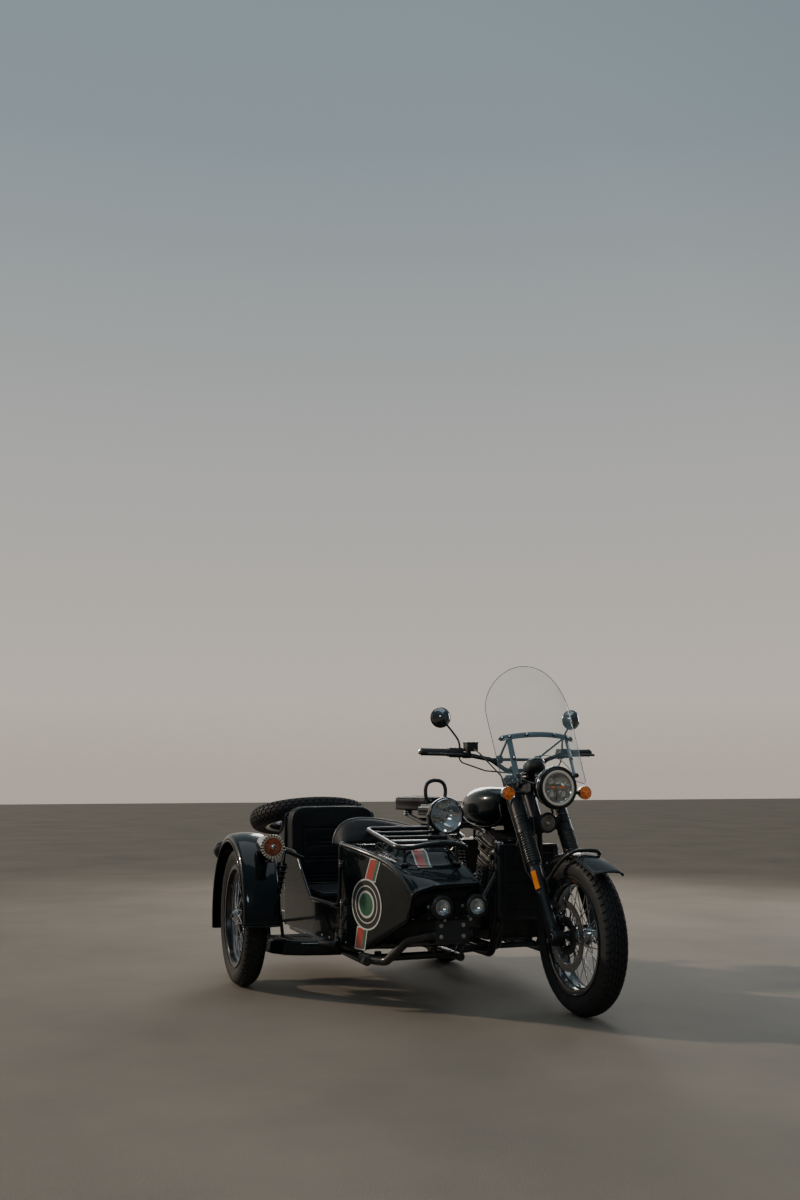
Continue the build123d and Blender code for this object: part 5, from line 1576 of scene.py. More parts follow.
# grab handle with its rubber sleeve
gh = [(-52, 119, 872), (-60, 119, 905), (-61, 119, 940), (-50, 119, 970), (-27, 119, 985), (0, 119, 989), (27, 119, 985), (50, 119, 970),
      (61, 119, 940), (60, 119, 905), (52, 119, 872)]
ob = tube("grab_loop", gh, 11.0, "rubber", "chassis", smooth=8, sides=18)
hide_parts("grab_handle")
gb = Parts()
gb.box((0, 119, 866), 124, 20, 14, 0, ch=3)
for s in (-1, 1):
    gb.turned([(0, 0), (0, 12), (14, 11.5), (16, 10), (16, 0)], (s * 50, 119, 873), (0, 0, 1), 24, 0)
    gb.hexbolt((s * 30, 119, 873), (0, 0, 1), 6, 5, 1)
gb.build("grab_loop_base", ["satin_black", "steel"], "chassis")


# coil springs
def coil(name, a, b, r, wire, turns, mat, body, sides=10, per=22):
    a, b = np.array(a, float), np.array(b, float)
    d, u, v = frame_of(b - a)
    L = np.linalg.norm(b - a)
    pts = []
    n = int(turns * per)
    for i in range(n + 1):
        t = i / n
        z = L * (0.03 + 0.94 * t)
        an = 2 * math.pi * turns * t
        pts.append(tuple(a + d * z + r * (math.cos(an) * u + math.sin(an) * v)))
    return tube(name, pts, wire, mat, body, smooth=1, sides=sides)


for s, t in ((-1, "right"), (1, "left")):
    coil(f"saddle_spring_{t}", (s * 95, -60, 745), (s * 95, -60, 796), 26, 4, 4, "steel", "chassis")
    coil(f"pillion_spring_{t}", (s * 95, 315, 782), (s * 95, 315, 818), 24, 4, 2.5, "steel", "chassis")
    coil(f"rear_shock_spring_{t}", (s * 154, -42, 420), (s * 152, -84, 672), 29, 4.6, 9.5, "chrome", "chassis")
coil("sidecar_shock_spring", (-1080, -388, 358), (-1018, -343, 577), 28.5, 4.4, 8.5, "frame_black", "chassis")

# ---------------------------------------------------------------- the fork
for s, t in ((-1, "right"), (1, "left")):
    # corrugated gaiter
    prof = [(306, 30)]
    nb = 13
    for k in range(nb):
        z = 308 + (466 - 308) * k / nb
        dz = (466 - 308) / nb
        prof += [(z + dz * 0.12, 33.4), (z + dz * 0.34, 37.2), (z + dz * 0.5, 38.2), (z + dz * 0.66, 37.2), (z + dz * 0.88, 33.4)]
    prof += [(468, 33.6), (470, 30)]
    o = fork_pt(s * 105, -50, 0)
    lathe(f"fork_gaiter_{t}", [(a, b) for a, b in prof], o, W_AX, "gaiter", "fork", 48, 60)
    fp = Parts()
    fp.turned([(296, 26.2), (296, 29.5), (303, 30), (310, 34.6), (314, 34.6), (314, 33)], o, W_AX, 40, 0)
    fp.turned([(462, 33), (463, 38.6), (470, 38.8), (474, 38), (474, 37.2)], o, W_AX, 40, 0)
    fp.turned([(541, 37.2), (542, 38.4), (547, 38.4), (549, 37.2)], o, W_AX, 40, 0)
    fp.turned([(720, 37.2), (721, 38.4), (726, 38.4), (727.5, 37), (727.5, 21)], o, W_AX, 40, 0)
    fp.turned([(756.2, 21.8), (757, 25), (764, 25), (772, 23), (775, 18), (775, 0)], o, W_AX, 40, 1)
    fp.hexbolt(np.array(fork_pt(s * 105, -50, 774)), W_AX, 9, 6, 1, washer=False)
    fp.turned([(-71, 0), (-71, 14), (-66, 25), (-60, 26.3)], o, W_AX, 40, 0)
    # slider casting: lug ribs and pinch bolt
    fp.turned([(-6, 0), (-6, 19), (0, 23.6), (6, 19), (6, 0)], (s * 128, -1570, 333), (1, 0, 0), 36, 0)
    fp.hexbolt((s * 132, -1570, 333), (s, 0, 0), 13, 8, 1)
    for w in (-52, -18):
        fp.hexbolt(np.array(fork_pt(s * (105 + 15), -68, w)), (s, 0, 0), 5.5, 5, 1)
    # pinch bolts of the yokes
    fp.hexbolt(np.array(fork_pt(s * 126, -86, 522)), (0, -B_AX[1], -B_AX[2]), 5, 6, 1, washer=False)
    fp.hexbolt(np.array(fork_pt(s * 126, -86, 742)), (0, -B_AX[1], -B_AX[2]), 5, 6, 1, washer=False)
    fp.build(f"fork_leg_fittings_{t}", ["satin_black", "chrome"], "fork")
    # side reflector on the slider, its lens glowing as painted reflected light
    rp = Parts()
    e1 = np.array([1.0, 0, 0])
    cpt = np.array(fork_pt(s * 124, -66, 222))
    dirn = np.array([s * 0.72, -0.6, 0.0])
    dirn -= W_AX * np.dot(dirn, W_AX)
    dirn /= np.linalg.norm(dirn)
    side = np.cross(dirn, W_AX)
    base = np.array(fork_pt(s * 105, -50, 222)) + dirn * 27
    rp.box(base, 27, 4, 92, 1, rot=(side, dirn, W_AX), ch=1.5)
    rp.box(base + dirn * 3.2, 23, 5, 86, 0, rot=(side, dirn, W_AX), ch=1.8)
    rp.build(f"fork_reflector_{t}", ["reflex_painted_glow", "black_plastic"], "fork")

# steering head: nut, riser clamps
sh = Parts()
sh.turned([(756, 0), (756, 22), (762, 22), (768, 19), (768, 0)], AXIS_FOOT, W_AX, 32, 0)
sh.hexbolt(AXIS_FOOT + W_AX * 766, W_AX, 15, 10, 0, washer=False)
for s in (-1, 1):
    o = np.array(fork_pt(s * 46, 8, 0))
    sh.box(o + W_AX * 842, 30, 36, 30, 1, rot=(np.array([1.0, 0, 0]), B_AX, W_AX), ch=4)
    for b in (-12, 12):
        sh.turned([(0, 0), (0, 4.6), (4, 4.6), (4, 0)], o + W_AX * 857 + B_AX * b, W_AX, 14, 0)
sh.build("handlebar_clamps", ["chrome", "satin_black"], "fork")

# grips, bar ends, switch housings
hb = Parts()
for s in (-1, 1):
    d = np.array([s * -170.0, -41.0, -4.0])
    d /= np.linalg.norm(d)
    e = np.array([s * 461.0, -855.0, 1130.0])
    prof = [(-2, 0), (-2, 15), (0, 19.5), (5, 19.5), (7, 17.6)]
    for k in range(16):
        z = 9 + 7.2 * k
        prof += [(z, 17.6), (z + 1.6, 18.3), (z + 4.6, 18.3), (z + 5.8, 17.5)]
    prof += [(126, 17.6), (127, 20.5), (132, 20.5), (133, 17)]
    hb.turned(prof, e, d, 28, 0)
    hb.turned([(-14, 0), (-14, 9), (-11, 13), (-3, 13.5), (-2, 10)], e, d, 28, 2)
    # switch housing: two halves with buttons
    up = np.array([0, 0, 1.0])
    fw = np.cross(d, up)
    fw /= np.linalg.norm(fw)
    up = np.cross(fw, d)
    if up[2] < 0:
        up = -up
    cc = e + d * 171
    hb.box(cc, 66, 46, 48, 1, rot=(d, fw, up), ch=8)
    hb.box(cc + up * 6, 67.5, 47, 2, 1, rot=(d, fw, up), ch=0.5)
    bk = np.array([0, 1.0, 0])
    for j, (dx, dz) in enumerate(((-16, 10), (12, 8), (-2, -10))):
        hb.box(cc + d * dx + up * dz + bk * 24, 14, 6, 9, 1 if j else 3, rot=(d, fw, up), ch=1.5)
    # lever pivot
    hb.turned([(0, 0), (0, 9), (30, 9), (30, 0)], (s * 252, -940, 1099), (0, 0, 1), 20, 1)
    hb.hexbolt((s * 252, -940, 1129), (0, 0, 1), 5.5, 4, 2, washer=False)
    # mirror base
    hb.turned([(0, 0), (0, 9), (16, 8), (20, 6), (20, 0)], (s * 281, -911, 1118), (0, 0.02, 1), 18, 1)
hb.build("bar_fittings", ["rubber", "black_plastic", "chrome", "red_paint"], "fork")
tank_r = Parts()
tank_r.box((-234, -937, 1151), 58, 52, 40, 0, ch=5)
tank_r.box((-234, -937, 1173), 62, 56, 6, 0, ch=2)
for dx in (-22, 22):
    tank_r.dome((-234 + dx, -937, 1176), (0, 0, 1), 4, 2, 1)
tank_r.turned([(0, 0), (0, 8), (2, 8), (2, 0)], (-234, -909, 1150), (0, 1, 0), 18, 1)
tank_r.turned([(0, 0), (0, 7), (12, 7), (12, 0)], (-234, -964, 1148), (0, 1, 0), 14, 0)
tank_r.build("brake_reservoir", ["black_plastic", "chrome"], "fork")

# lever blades with ball ends
for s, t in ((-1, "brake"), (1, "clutch")):
    tube(f"{t}_lever", [(s * 250, -944, 1111), (s * 285, -958, 1113), (s * 330, -957, 1115), (s * 390, -942, 1117), (s * 440, -924, 1118),
                        (s * 452, -918, 1118)], [8, 7.5, 7, 6.5, 6, 8.5], "dark_alloy", "fork", smooth=6, sides=14, flat=(1.0, 0.8))

# mirrors: bowls, glass, stems with a ball joint
for s, t in ((-1, "right"), (1, "left")):
    gc = np.array([s * 360.0, -858.0, 1297.0])
    f = np.array([s * -0.10, 1, 0.04])
    f /= np.linalg.norm(f)
    bowl = [(-42, 0), (-41, 8), (-38, 16)] + [(p[0], p[1]) for p in catmull([(-38, 16), (-30, 29), (-18, 42), (-6, 49), (2, 50.5)], 5)] + \
           [(4, 50.8), (5.5, 49.6), (5.5, 47)]
    ob = lathe(f"mirror_bowl_{t}", bowl, gc, f, "dark_chrome", "fork", 64, 40)
    lathe(f"mirror_glass_{t}", [(5, 47), (5.2, 30), (5.6, 0)], gc, f, "chrome", "fork", 64)
    lathe(f"mirror_rim_{t}", [(-8, 48.8), (-7, 50.4), (-2, 51), (2, 50.9)], gc, f, "satin_black", "fork", 64)
    tube(f"mirror_stem_{t}", [(s * 281, -911, 1120), (s * 280, -910, 1150), (s * 284, -905, 1182), (s * 305, -892, 1220),
                              (s * 336, -881, 1262), (s * 349, -878, 1282)], [5.6, 5.4, 5.2, 5, 5, 5.4], "satin_black", "fork",
         smooth=8, sides=14)
    mp = Parts()
    mp.turned([(-7, 0), (-7, 6), (-3, 9), (3, 9), (7, 6), (7, 0)], gc + np.array([s * -10, -22, -14]), (s * 0.3, 0.2, 1), 24, 0)
    mp.build(f"mirror_joint_{t}", ["satin_black"], "fork")
    if s < 0:
        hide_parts("mirrors")

# ------------------------------------------------------------- the screen
WS_O, WS_S, WS_F = np.array([0.0, -1228, 1208]), np.array([0.0, 0.418, 0.9085]), np.array([0.0, -0.9085, 0.418])


def ws(x, s, off=0.0):
    """point of the bent sheet: x across, s up it, off out of its front"""
    f = math.sqrt(max(382.0 ** 2 - x * x, 0)) - 380.0 + off
    return tuple(WS_O + np.array([x, 0, 0]) + WS_S * s + WS_F * f)


def ws_normal(x):
    n = np.array([x / 382.0, 0, 0]) + WS_F * math.sqrt(1 - (x / 382.0) ** 2)
    return n / np.linalg.norm(n)


def ws_edges(u):
    x = 225 * u
    top = 140.9 + math.sqrt(max(225.56 ** 2 - x * x, 0))
    xb = 216 * u
    if abs(xb) < 140:
        bot = -253.67 + math.sqrt(141.67 ** 2 - xb * xb)
    else:
        t = (abs(xb) - 140) / 76.0
        bot = -232 + 3 * t + 14 * sstep(0.84, 1.0, t)
    return top, bot


def ws_x(u, s):
    return u * (225 if s >= 125 else 216 + (s + 228) / 353.0 * 9)


us = [math.sin(math.pi / 2 * (k / 34.0)) for k in range(-34, 35)] + [q * w for q in (-1, 1) for w in (0.60, 0.615, 0.63, 0.639, 0.645)]
us = sorted(set(round(u, 5) for u in us))
rows = []
for u in us:
    top, bot = ws_edges(u)
    rows.append([ws(ws_x(u, bot + (top - bot) * k / 34), bot + (top - bot) * k / 34) for k in range(35)])
ob = grid("screen_sheet", rows, "screen", "fork", thick=3.0, offset=0.0)
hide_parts("windscreen")
edge = [ws(ws_x(u, ws_edges(u)[0]), ws_edges(u)[0]) for u in us] + \
       [ws(ws_x(1, s), s) for s in (120, 80, 40, 0, -40, -80, -120, -160, -195)] + \
       [ws(ws_x(u, ws_edges(u)[1]), ws_edges(u)[1]) for u in reversed(us)] + \
       [ws(ws_x(-1, s), s) for s in (-195, -160, -120, -80, -40, 0, 40, 80, 120)]
tube("screen_edge", edge, 2.0, "screen_edge", "fork", smooth=1, sides=8, closed=True)
sb = Parts()
for x, s in ((-183, 0), (183, 0), (-150, 0), (150, 0), (-70, 0), (70, 0), (-150, -196), (150, -196), (-150, -110), (150, -110)):
    n = ws_normal(x)
    p = np.array(ws(x, s))
    sb.turned([(1.6, 0), (1.6, 9.5), (3.2, 9.5), (3.2, 0)], p, n, 24, 1)
    sb.turned([(3.2, 7), (6.0, 6.4), (7.6, 4), (8, 0)], p, n, 20, 0)
    sb.hexbolt(p - n * 7.2, -n, 6.5, 5, 0)
sb.build("screen_bolts", ["chrome", "rubber"], "fork")
# strap, uprights and stays with folded edges
st = Parts()
xs = np.linspace(-196, 196, 41)


rows = []
for x in xs:
    hh = 13.0
    if abs(x) > 183:
        hh = math.sqrt(max(13.0 ** 2 - (abs(x) - 183) ** 2, 0.5))
    rows.append([ws(x, s, o) for s, o in ((-hh, -8.4), (-hh, -3.6), (-hh + 1, -2.8), (hh - 1, -2.8), (hh, -3.6), (hh, -8.4), (hh - 1, -9), (-hh + 1, -9))])
ob = grid("screen_strap", rows, "bracket_blue", "fork", close_v=True, caps=True)
auto_smooth(ob, 40)
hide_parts("screen_bracket")
for q, t in ((-1, "right"), (1, "left")):
    rows = []
    for s in list(np.linspace(-208, 6, 24)):
        hw = 12.0 if s > -196 else math.sqrt(max(144 - (-196 - s) ** 2, 0.5))
        rows.append([ws(q * 150 + a, s, o) for a, o in ((-hw, -10.4), (-hw, -8.9), (-hw + 1, -8.2), (hw - 1, -8.2), (hw, -8.9), (hw, -10.4),
                                                         (hw - 1, -11.2), (hw - 4, -11.4), (-hw + 4, -11.4), (-hw + 1, -11.2))])
    ob = grid(f"screen_upright_{t}", rows, "bracket_blue", "fork", close_v=True, caps=True)
    auto_smooth(ob, 40)
    st.rod((q * 150, -1200, 1203), (q * 104, -990, 1100), 5.6, 18, 0)
    st.turned([(0, 0), (0, 9), (16, 9), (18, 6), (18, 0)], (q * 104, -990, 1100), (q * 0.2, -0.86, 0.46), 20, 0)
    st.rod((q * 148, -1292, 1014), (q * 104, -1205, 968), 5.6, 18, 0)
    # three-lobed clamp knobs on the bar
    st.turned([(-3, 0), (-3, 17), (3, 19), (14, 19), (22, 16), (24, 12), (24, 0)], (q * 93, -985, 1092), (q, 0, 0), 36, 1)
    for k in range(6):
        a = math.pi / 3 * k
        st.turned([(0, 0), (0, 4.6), (18, 4.4), (20, 3), (20, 0)], (q * 94, -985 + 17 * math.cos(a), 1092 + 17 * math.sin(a)), (q, 0, 0), 14, 1)
    st.turned([(0, 0), (0, 13), (16, 13), (16, 0)], (q * 100 - q * 8, -985, 1092), (q, 0, 0), 24, 0)
    st.turned([(-2, 0), (-2, 11), (10, 11), (13, 8), (13, 0)], (q * 104, -1205, 968), (q, 0, 0), 20, 1)
    st.turned([(-4, 0), (-4, 10), (6, 10), (6, 0)], (q * 149, -1294, 1015), (q * 0.3, -0.9, 0.3), 20, 1)
st.build("screen_stays", ["bracket_blue", "black_plastic"], "fork")


# --------------------------------------------------------------- mudguards
def fender(name, path, x0, x1, mat, body, node, crown=6.0, corner=20.0, lip0=20.0, lip1=20.0, bead=4.0, widen=None, thick=2.4):
    """crowned blade along a path of (y, z) seen from the side, outer skin, first point at the front"""
    P = [np.array(p, float) for p in path]
    m = len(P)
    cen = np.mean(P, axis=0)
    rows = []
    for i in range(m):
        t = P[min(i + 1, m - 1)] - P[max(i - 1, 0)]
        t /= np.linalg.norm(t)
        nrm = np.array([-t[1], t[0]])
        if np.dot(nrm, P[i] - fender.hub) < 0:
            nrm = -nrm
        w = widen(i / (m - 1)) if widen else 0.0
        a, b = x0 - w, x1 + w
        mid, half = (a + b) / 2, (b - a) / 2
        sec = [(a, -lip0)]
        for k in range(7):
            an = math.pi / 2 * k / 6
            sec.append((a + corner * (1 - math.cos(an)), -crown - corner * (1 - math.sin(an))))
        n = 12
        for k in range(1, n):
            x = a + corner + (b - a - 2 * corner) * k / n
            sec.append((x, -crown * ((x - mid) / (half - corner)) ** 2))
        for k in range(7):
            an = math.pi / 2 * (1 - k / 6)
            sec.append((b - corner * (1 - math.cos(an)), -crown - corner * (1 - math.sin(an))))
        sec.append((b, -lip1))
        rows.append([(x, P[i][0] + nrm[0] * d, P[i][1] + nrm[1] * d) for x, d in sec])
    ob = grid(name, rows, mat, body, thick=thick, offset=-1.0, even=False)
    if node:
        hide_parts(node)
    loop = [r[0] for r in rows] + list(rows[-1][1:]) + [r[-1] for r in reversed(rows[:-1])] + list(reversed(rows[0][1:-1]))
    tube(name + "_bead", loop, bead, mat, body, smooth=1, sides=10, closed=True)
    return rows


def arc_path(cy, cz, r, a0, a1, n):
    return [(cy - r * math.sin(math.radians(a0 + (a1 - a0) * i / n)), cz + r * math.cos(math.radians(a0 + (a1 - a0) * i / n)))
            for i in range(n + 1)]


fender.hub = np.array([-360.0, 333.0])
fender("sidecar_fender", arc_path(-360, 333, 403, 91.2, -104.5, 96), -1296, -1119, "gloss_black", "chassis", "sidecar_mudguard",
       crown=7, corner=24, lip0=42, lip1=42, bead=4.6)
fender.hub = np.array([-1570.0, 333.0])
tip = [(-1834, 618.5), (-1815, 626.5), (-1795, 634), (-1764, 645), (-1735, 655), (-1700, 664.5)]
fender("front_fender", tip + arc_path(-1570, 333, 353, 17, -36, 34), -64, 64, "gloss_black", "fork", "front_mudguard",
       crown=6, corner=9, lip0=18, lip1=18, bead=3.2, widen=lambda t: 2 * (1 - sstep(0.0, 0.22, t)))
fender.hub = np.array([0.0, 333.0])
fender("rear_fender", arc_path(0, 333, 393, 60, -98, 90), -76, 76, "gloss_black", "chassis", "rear_mudguard",
       crown=9, corner=18, lip0=30, lip1=30, bead=3.6)

# stays and bolts of the mudguards
fs = Parts()
for s in (-1, 1):
    for a in (-30, 8):
        p = np.array([s * 66, -1570 - 346 * math.sin(math.radians(a)), 333 + 346 * math.cos(math.radians(a))])
        fs.hexbolt(p + np.array([s * 1.0, 0, -6]), (s, 0, 0), 5, 4, 1)
fs.build("front_fender_bolts", ["satin_black", "chrome"], "fork")
brace = [(-88, -1456, 562), (-86, -1490, 590), (-83, -1545, 634), (-79, -1600, 667), (-72, -1626, 681), (-56, -1634, 691), (-30, -1636, 694.5),
         (0, -1636, 695.5), (30, -1636, 694.5), (56, -1634, 691), (72, -1626, 681), (79, -1600, 667), (83, -1545, 634), (86, -1490, 590),
         (88, -1456, 562)]
tube("front_fender_brace", brace, 8.0, "satin_black", "fork", smooth=7, sides=12)
ms = Parts()
ms.rod((-1118, -722, 372), (-1062, -560, 238), 8, 16, 0)
ms.rod((-1118, 18, 252), (-898, 18, 252), 8, 16, 0)
ms.box((-1062, -560, 246), 34, 30, 7, 0, ch=2)
ms.hexbolt((-1072, -562, 249), (0, 0, 1), 5.5, 5, 1)
ms.hexbolt((-1052, -558, 249), (0, 0, 1), 5.5, 5, 1)
for y, z in ((-722, 372), (18, 252)):
    ms.turned([(-4, 0), (-4, 15), (0, 17), (4, 17), (4, 0)], (-1117, y, z), (1, 0, 0), 24, 0)
    ms.hexbolt((-1123, y, z), (-1, 0, 0), 6, 5, 1)
ms.turned([(-10, 0), (-10, 20), (0, 20), (0, 0)], (-906, 18, 252), (-1, 0, 0), 24, 0)
ms.build("sidecar_fender_stays", ["frame_black", "chrome"], "chassis")

# --------------------------------------------------------- tank furniture
tk = Parts()
tk.turned([(-6, 0), (-6, 34), (0, 35), (3, 35), (6, 33), (6, 31)], (0, -880, 955), (0, -0.05, 1), 48, 0)
tk.turned([(4, 31), (9, 30), (13, 27), (15, 20), (16, 8), (16, 0)], (0, -880, 955), (0, -0.05, 1), 48, 0)
for k in range(20):
    a = 2 * math.pi * k / 20
    tk.box((32.5 * math.cos(a), -880 + 32.5 * math.sin(a), 961), 4, 4, 7, 0, ch=0.8)
tk.build("filler_cap", ["chrome"], "chassis")


def tank_r(y, a):
    """point on the tank side at angle a (0 = sideways, +90 = top) from its lofted sections"""
    T = [(-1002, 872, 150, 120, 55), (-975, 872, 196, 150, 62), (-850, 862, 300, 192, 80), (-640, 856, 284, 182, 75), (-478, 846, 170, 120, 40)]
    ys = [t[0] for t in T]
    zc, w, h, r = [float(np.interp(y, ys, [t[i] for t in T])) for i in (1, 2, 3, 4)]
    ca, sa = math.cos(a), math.sin(a)
    cx, cz = w / 2 - r, h / 2 - r
    k = 1e9
    # ray against the rounded rectangle
    lo, hi = 0.0, 400.0
    for _ in range(40):
        md = (lo + hi) / 2
        px, pz = md * abs(ca), md * abs(sa)
        dx, dz = max(px - cx, 0), max(pz - cz, 0)
        inside = (px <= cx or pz <= cz or dx * dx + dz * dz <= r * r) and px <= w / 2 and pz <= h / 2
        lo, hi = (md, hi) if inside else (lo, md)
    return lo * ca, zc + lo * sa


def tank_hit(y, a, out):
    """point on the real skin of the tank node, looked for from outside towards its middle line"""
    ca, sa = math.cos(a), math.sin(a)
    x, z = tank_r(y, a)
    skin = bpy.data.objects["fuel_tank"]
    inv = skin.matrix_world.inverted()
    zero = Vector(M((0.0, 0.0, 0.0)))
    src = inv @ Vector(M((300.0 * ca, y, 862.0 + 300.0 * sa)))
    dst = inv @ Vector(M((0.0, y, 862.0)))
    ok, loc, nrm, face = skin.ray_cast(src, (dst - src).normalized())
    if ok:
        q = (skin.matrix_world @ loc - zero) * 1000.0
        if abs(q.x) > 40:
            x, z = abs(q.x), q.z
    return x + out * ca, z + out * sa


bpy.context.view_layer.update()
for s, t in ((-1, "right"), (1, "left")):
    # seam along the lower edge of the tank, made chrome as a painted highlight of the light the seam catches
    sm = []
    for y, a in ((-984, 10), (-980, -8), (-968, -25), (-940, -36), (-890, -42), (-800, -44), (-700, -43), (-600, -42), (-520, -38), (-486, -30)):
        x, z = tank_hit(min(max(y, -974.0), -480.0), math.radians(a), 1.2)
        sm.append((s * x, min(max(y, -975.0), -480.0), z))
    tube(f"tank_seam_highlight_{t}", sm, 3.0, "chrome", "chassis", smooth=8, sides=10)
    # ribbed knee pad
    rows = []
    for i in range(29):
        f = i / 28
        y = -800 + 190 * f
        half = 22 * math.sin(math.pi * min(1, max(0.0, f))) ** 0.45 + 2
        rr_ = []
        for j in range(13):
            g = j / 12 * 2 - 1
            a = math.radians(-8 + half * g)
            x, z = tank_r(y, a)
            lift = 3.4 * (1 - abs(g) ** 6) * (1 - abs(2 * f - 1) ** 8) + 0.8 * math.cos(math.pi * 5 * g)
            rr_.append((s * (x + lift), y, z))
        rows.append(rr_)
    grid(f"knee_pad_{t}", rows, "rubber", "chassis", thick=3.0)

# ------------------------------------------------------------- engine block
CYO = np.array([0.0, -800.0, 470.0])
CYX, CYY, CYZ = np.array([1.0, 0, 0]), np.array([0, math.cos(math.radians(18)), math.sin(math.radians(18))]), \
    np.array([0, -math.sin(math.radians(18)), math.cos(math.radians(18))])


def cyp(x, y, z):
    return CYO + CYX * x + CYY * y + CYZ * z


def plate_rr(P, w, d, r, z0, z1, mi, scallop=0.0, n=7, y0=0.0):
    """rounded plate in the leaning cylinder frame"""
    out = []
    for cx, cy, a0 in ((w / 2 - r, d / 2 - r, 0), (-(w / 2 - r), d / 2 - r, 90), (-(w / 2 - r), -(d / 2 - r), 180), (w / 2 - r, -(d / 2 - r), 270)):
        for k in range(n + 1):
            a = math.radians(a0 + 90.0 * k / n)
            out.append((cx + r * math.cos(a), cy + r * math.sin(a)))
        if scallop and a0 in (0, 180):
            sy = 1 if a0 == 0 else -1
            for xx in (np.linspace(34, -34, 9) if a0 == 0 else np.linspace(-34, 34, 9)):
                out.append((float(xx), sy * (d / 2 - scallop * (1 - (xx / 34.0) ** 2))))
    m = len(out)
    vs = [tuple(cyp(x, y + y0, z)) for z in (z0, z1) for x, y in out]
    P.add(vs, [tuple(range(m - 1, -1, -1)), tuple(range(m, 2 * m))] + [(k, (k + 1) % m, m + (k + 1) % m, m + k) for k in range(m)], mi)


E_ = Parts()
for s in (-1, 1):
    E_.turned([(-4, 0), (-4, 60), (160, 60), (160, 0)], cyp(s * 64, 0, 0), CYZ, 40, 1)
E_.box(cyp(0, 0, 80), 90, 90, 160, 1, rot=(CYX, CYY, CYZ))
for k in range(8):
    plate_rr(E_, 284, 176, 52, 12 + 18.4 * k, 17.4 + 18.4 * k, 0, scallop=10)
plate_rr(E_, 262, 168, 44, 158, 176, 0, scallop=6)
plate_rr(E_, 236, 150, 36, 176, 236, 1)
for k in range(5):
    plate_rr(E_, 284, 186, 48, 181 + 11.6 * k, 185 + 11.6 * k, 0, scallop=12)
plate_rr(E_, 262, 172, 46, 238, 247, 0)
plate_rr(E_, 252, 162, 44, 247, 262, 2)
plate_rr(E_, 240, 150, 42, 262, 268, 2)
plate_rr(E_, 214, 124, 36, 268, 272, 2)
for x in (-108, -36, 36, 108):
    for y in (-66, 66):
        E_.hexbolt(cyp(x, y, 262 if abs(x) < 60 else 261), CYZ, 6, 6, 3)
for x in (-124, 0, 124):
    for y in (-58, 58):
        if x:
            E_.turned([(0, 0), (0, 5.5), (150, 5.5), (150, 0)], cyp(x * 0.94, y, 12), CYZ, 12, 3)
for s in (-1, 1):
    # spark plug with cap and lead
    c = cyp(s * 120, -10, 205)
    d = CYX * s * 0.92 + CYZ * 0.38
    E_.turned([(0, 0), (0, 9), (10, 9), (10, 5), (18, 5), (18, 10), (44, 9), (48, 6), (48, 0)], c, d, 18, 4)
    # exhaust flange, inlet stub and throttle body
    E_.turned([(-8, 0), (-8, 34), (6, 34), (6, 26), (14, 26), (14, 0)], (s * 75, -905, 562), (0, -1, 0.0), 32, 2)
    for q in (-1, 1):
        E_.hexbolt((s * 75 + q * 27, -918, 562 - q * 8), (0, -1, 0), 6.5, 8, 3, washer=False)
    E_.turned([(0, 0), (0, 27), (12, 27), (14, 24), (40, 24), (42, 28), (86, 28), (90, 25), (100, 25), (100, 0)], cyp(s * 64, 72, 214),
              CYY * 0.93 + CYZ * 0.36, 32, 1)
    E_.turned([(40, 24.5), (41, 28.5), (48, 28.5), (49, 24.5)], cyp(s * 64, 72, 214), CYY * 0.93 + CYZ * 0.36, 32, 3)
ob = E_.build("engine_barrels", ["fin_edge_highlight", "dark_alloy", "dark_alloy", "steel", "rubber"], "chassis")
# dark fin faces with bright edges: partly a black finish with machined edges, partly painted shade between the fins and
# a painted highlight on their edges
for pol in ob.data.polygons:
    if pol.material_index == 0 and abs(float(np.dot(np.array(pol.normal), CYZ))) > 0.9:
        pol.material_index = 1
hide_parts("engine_cylinders")
for s, t in ((-1, "right"), (1, "left")):
    c = cyp(s * 120, -10, 205) + (CYX * s * 0.92 + CYZ * 0.38) * 46
    tube(f"plug_lead_{t}", [tuple(c), (s * 160, c[1] + 30, c[2] + 26), (s * 130, c[1] + 90, 735), (s * 60, c[1] + 130, 748)], 3.6, "rubber",
         "chassis", smooth=8, sides=10)
    tube(f"oil_pipe_{t}", [tuple(cyp(s * 124, -92, 190)), tuple(cyp(s * 128, -104, 150)), tuple(cyp(s * 118, -104, 60)), (s * 112, -900, 440)], 4.4,
         "steel", "chassis", smooth=8, sides=10)
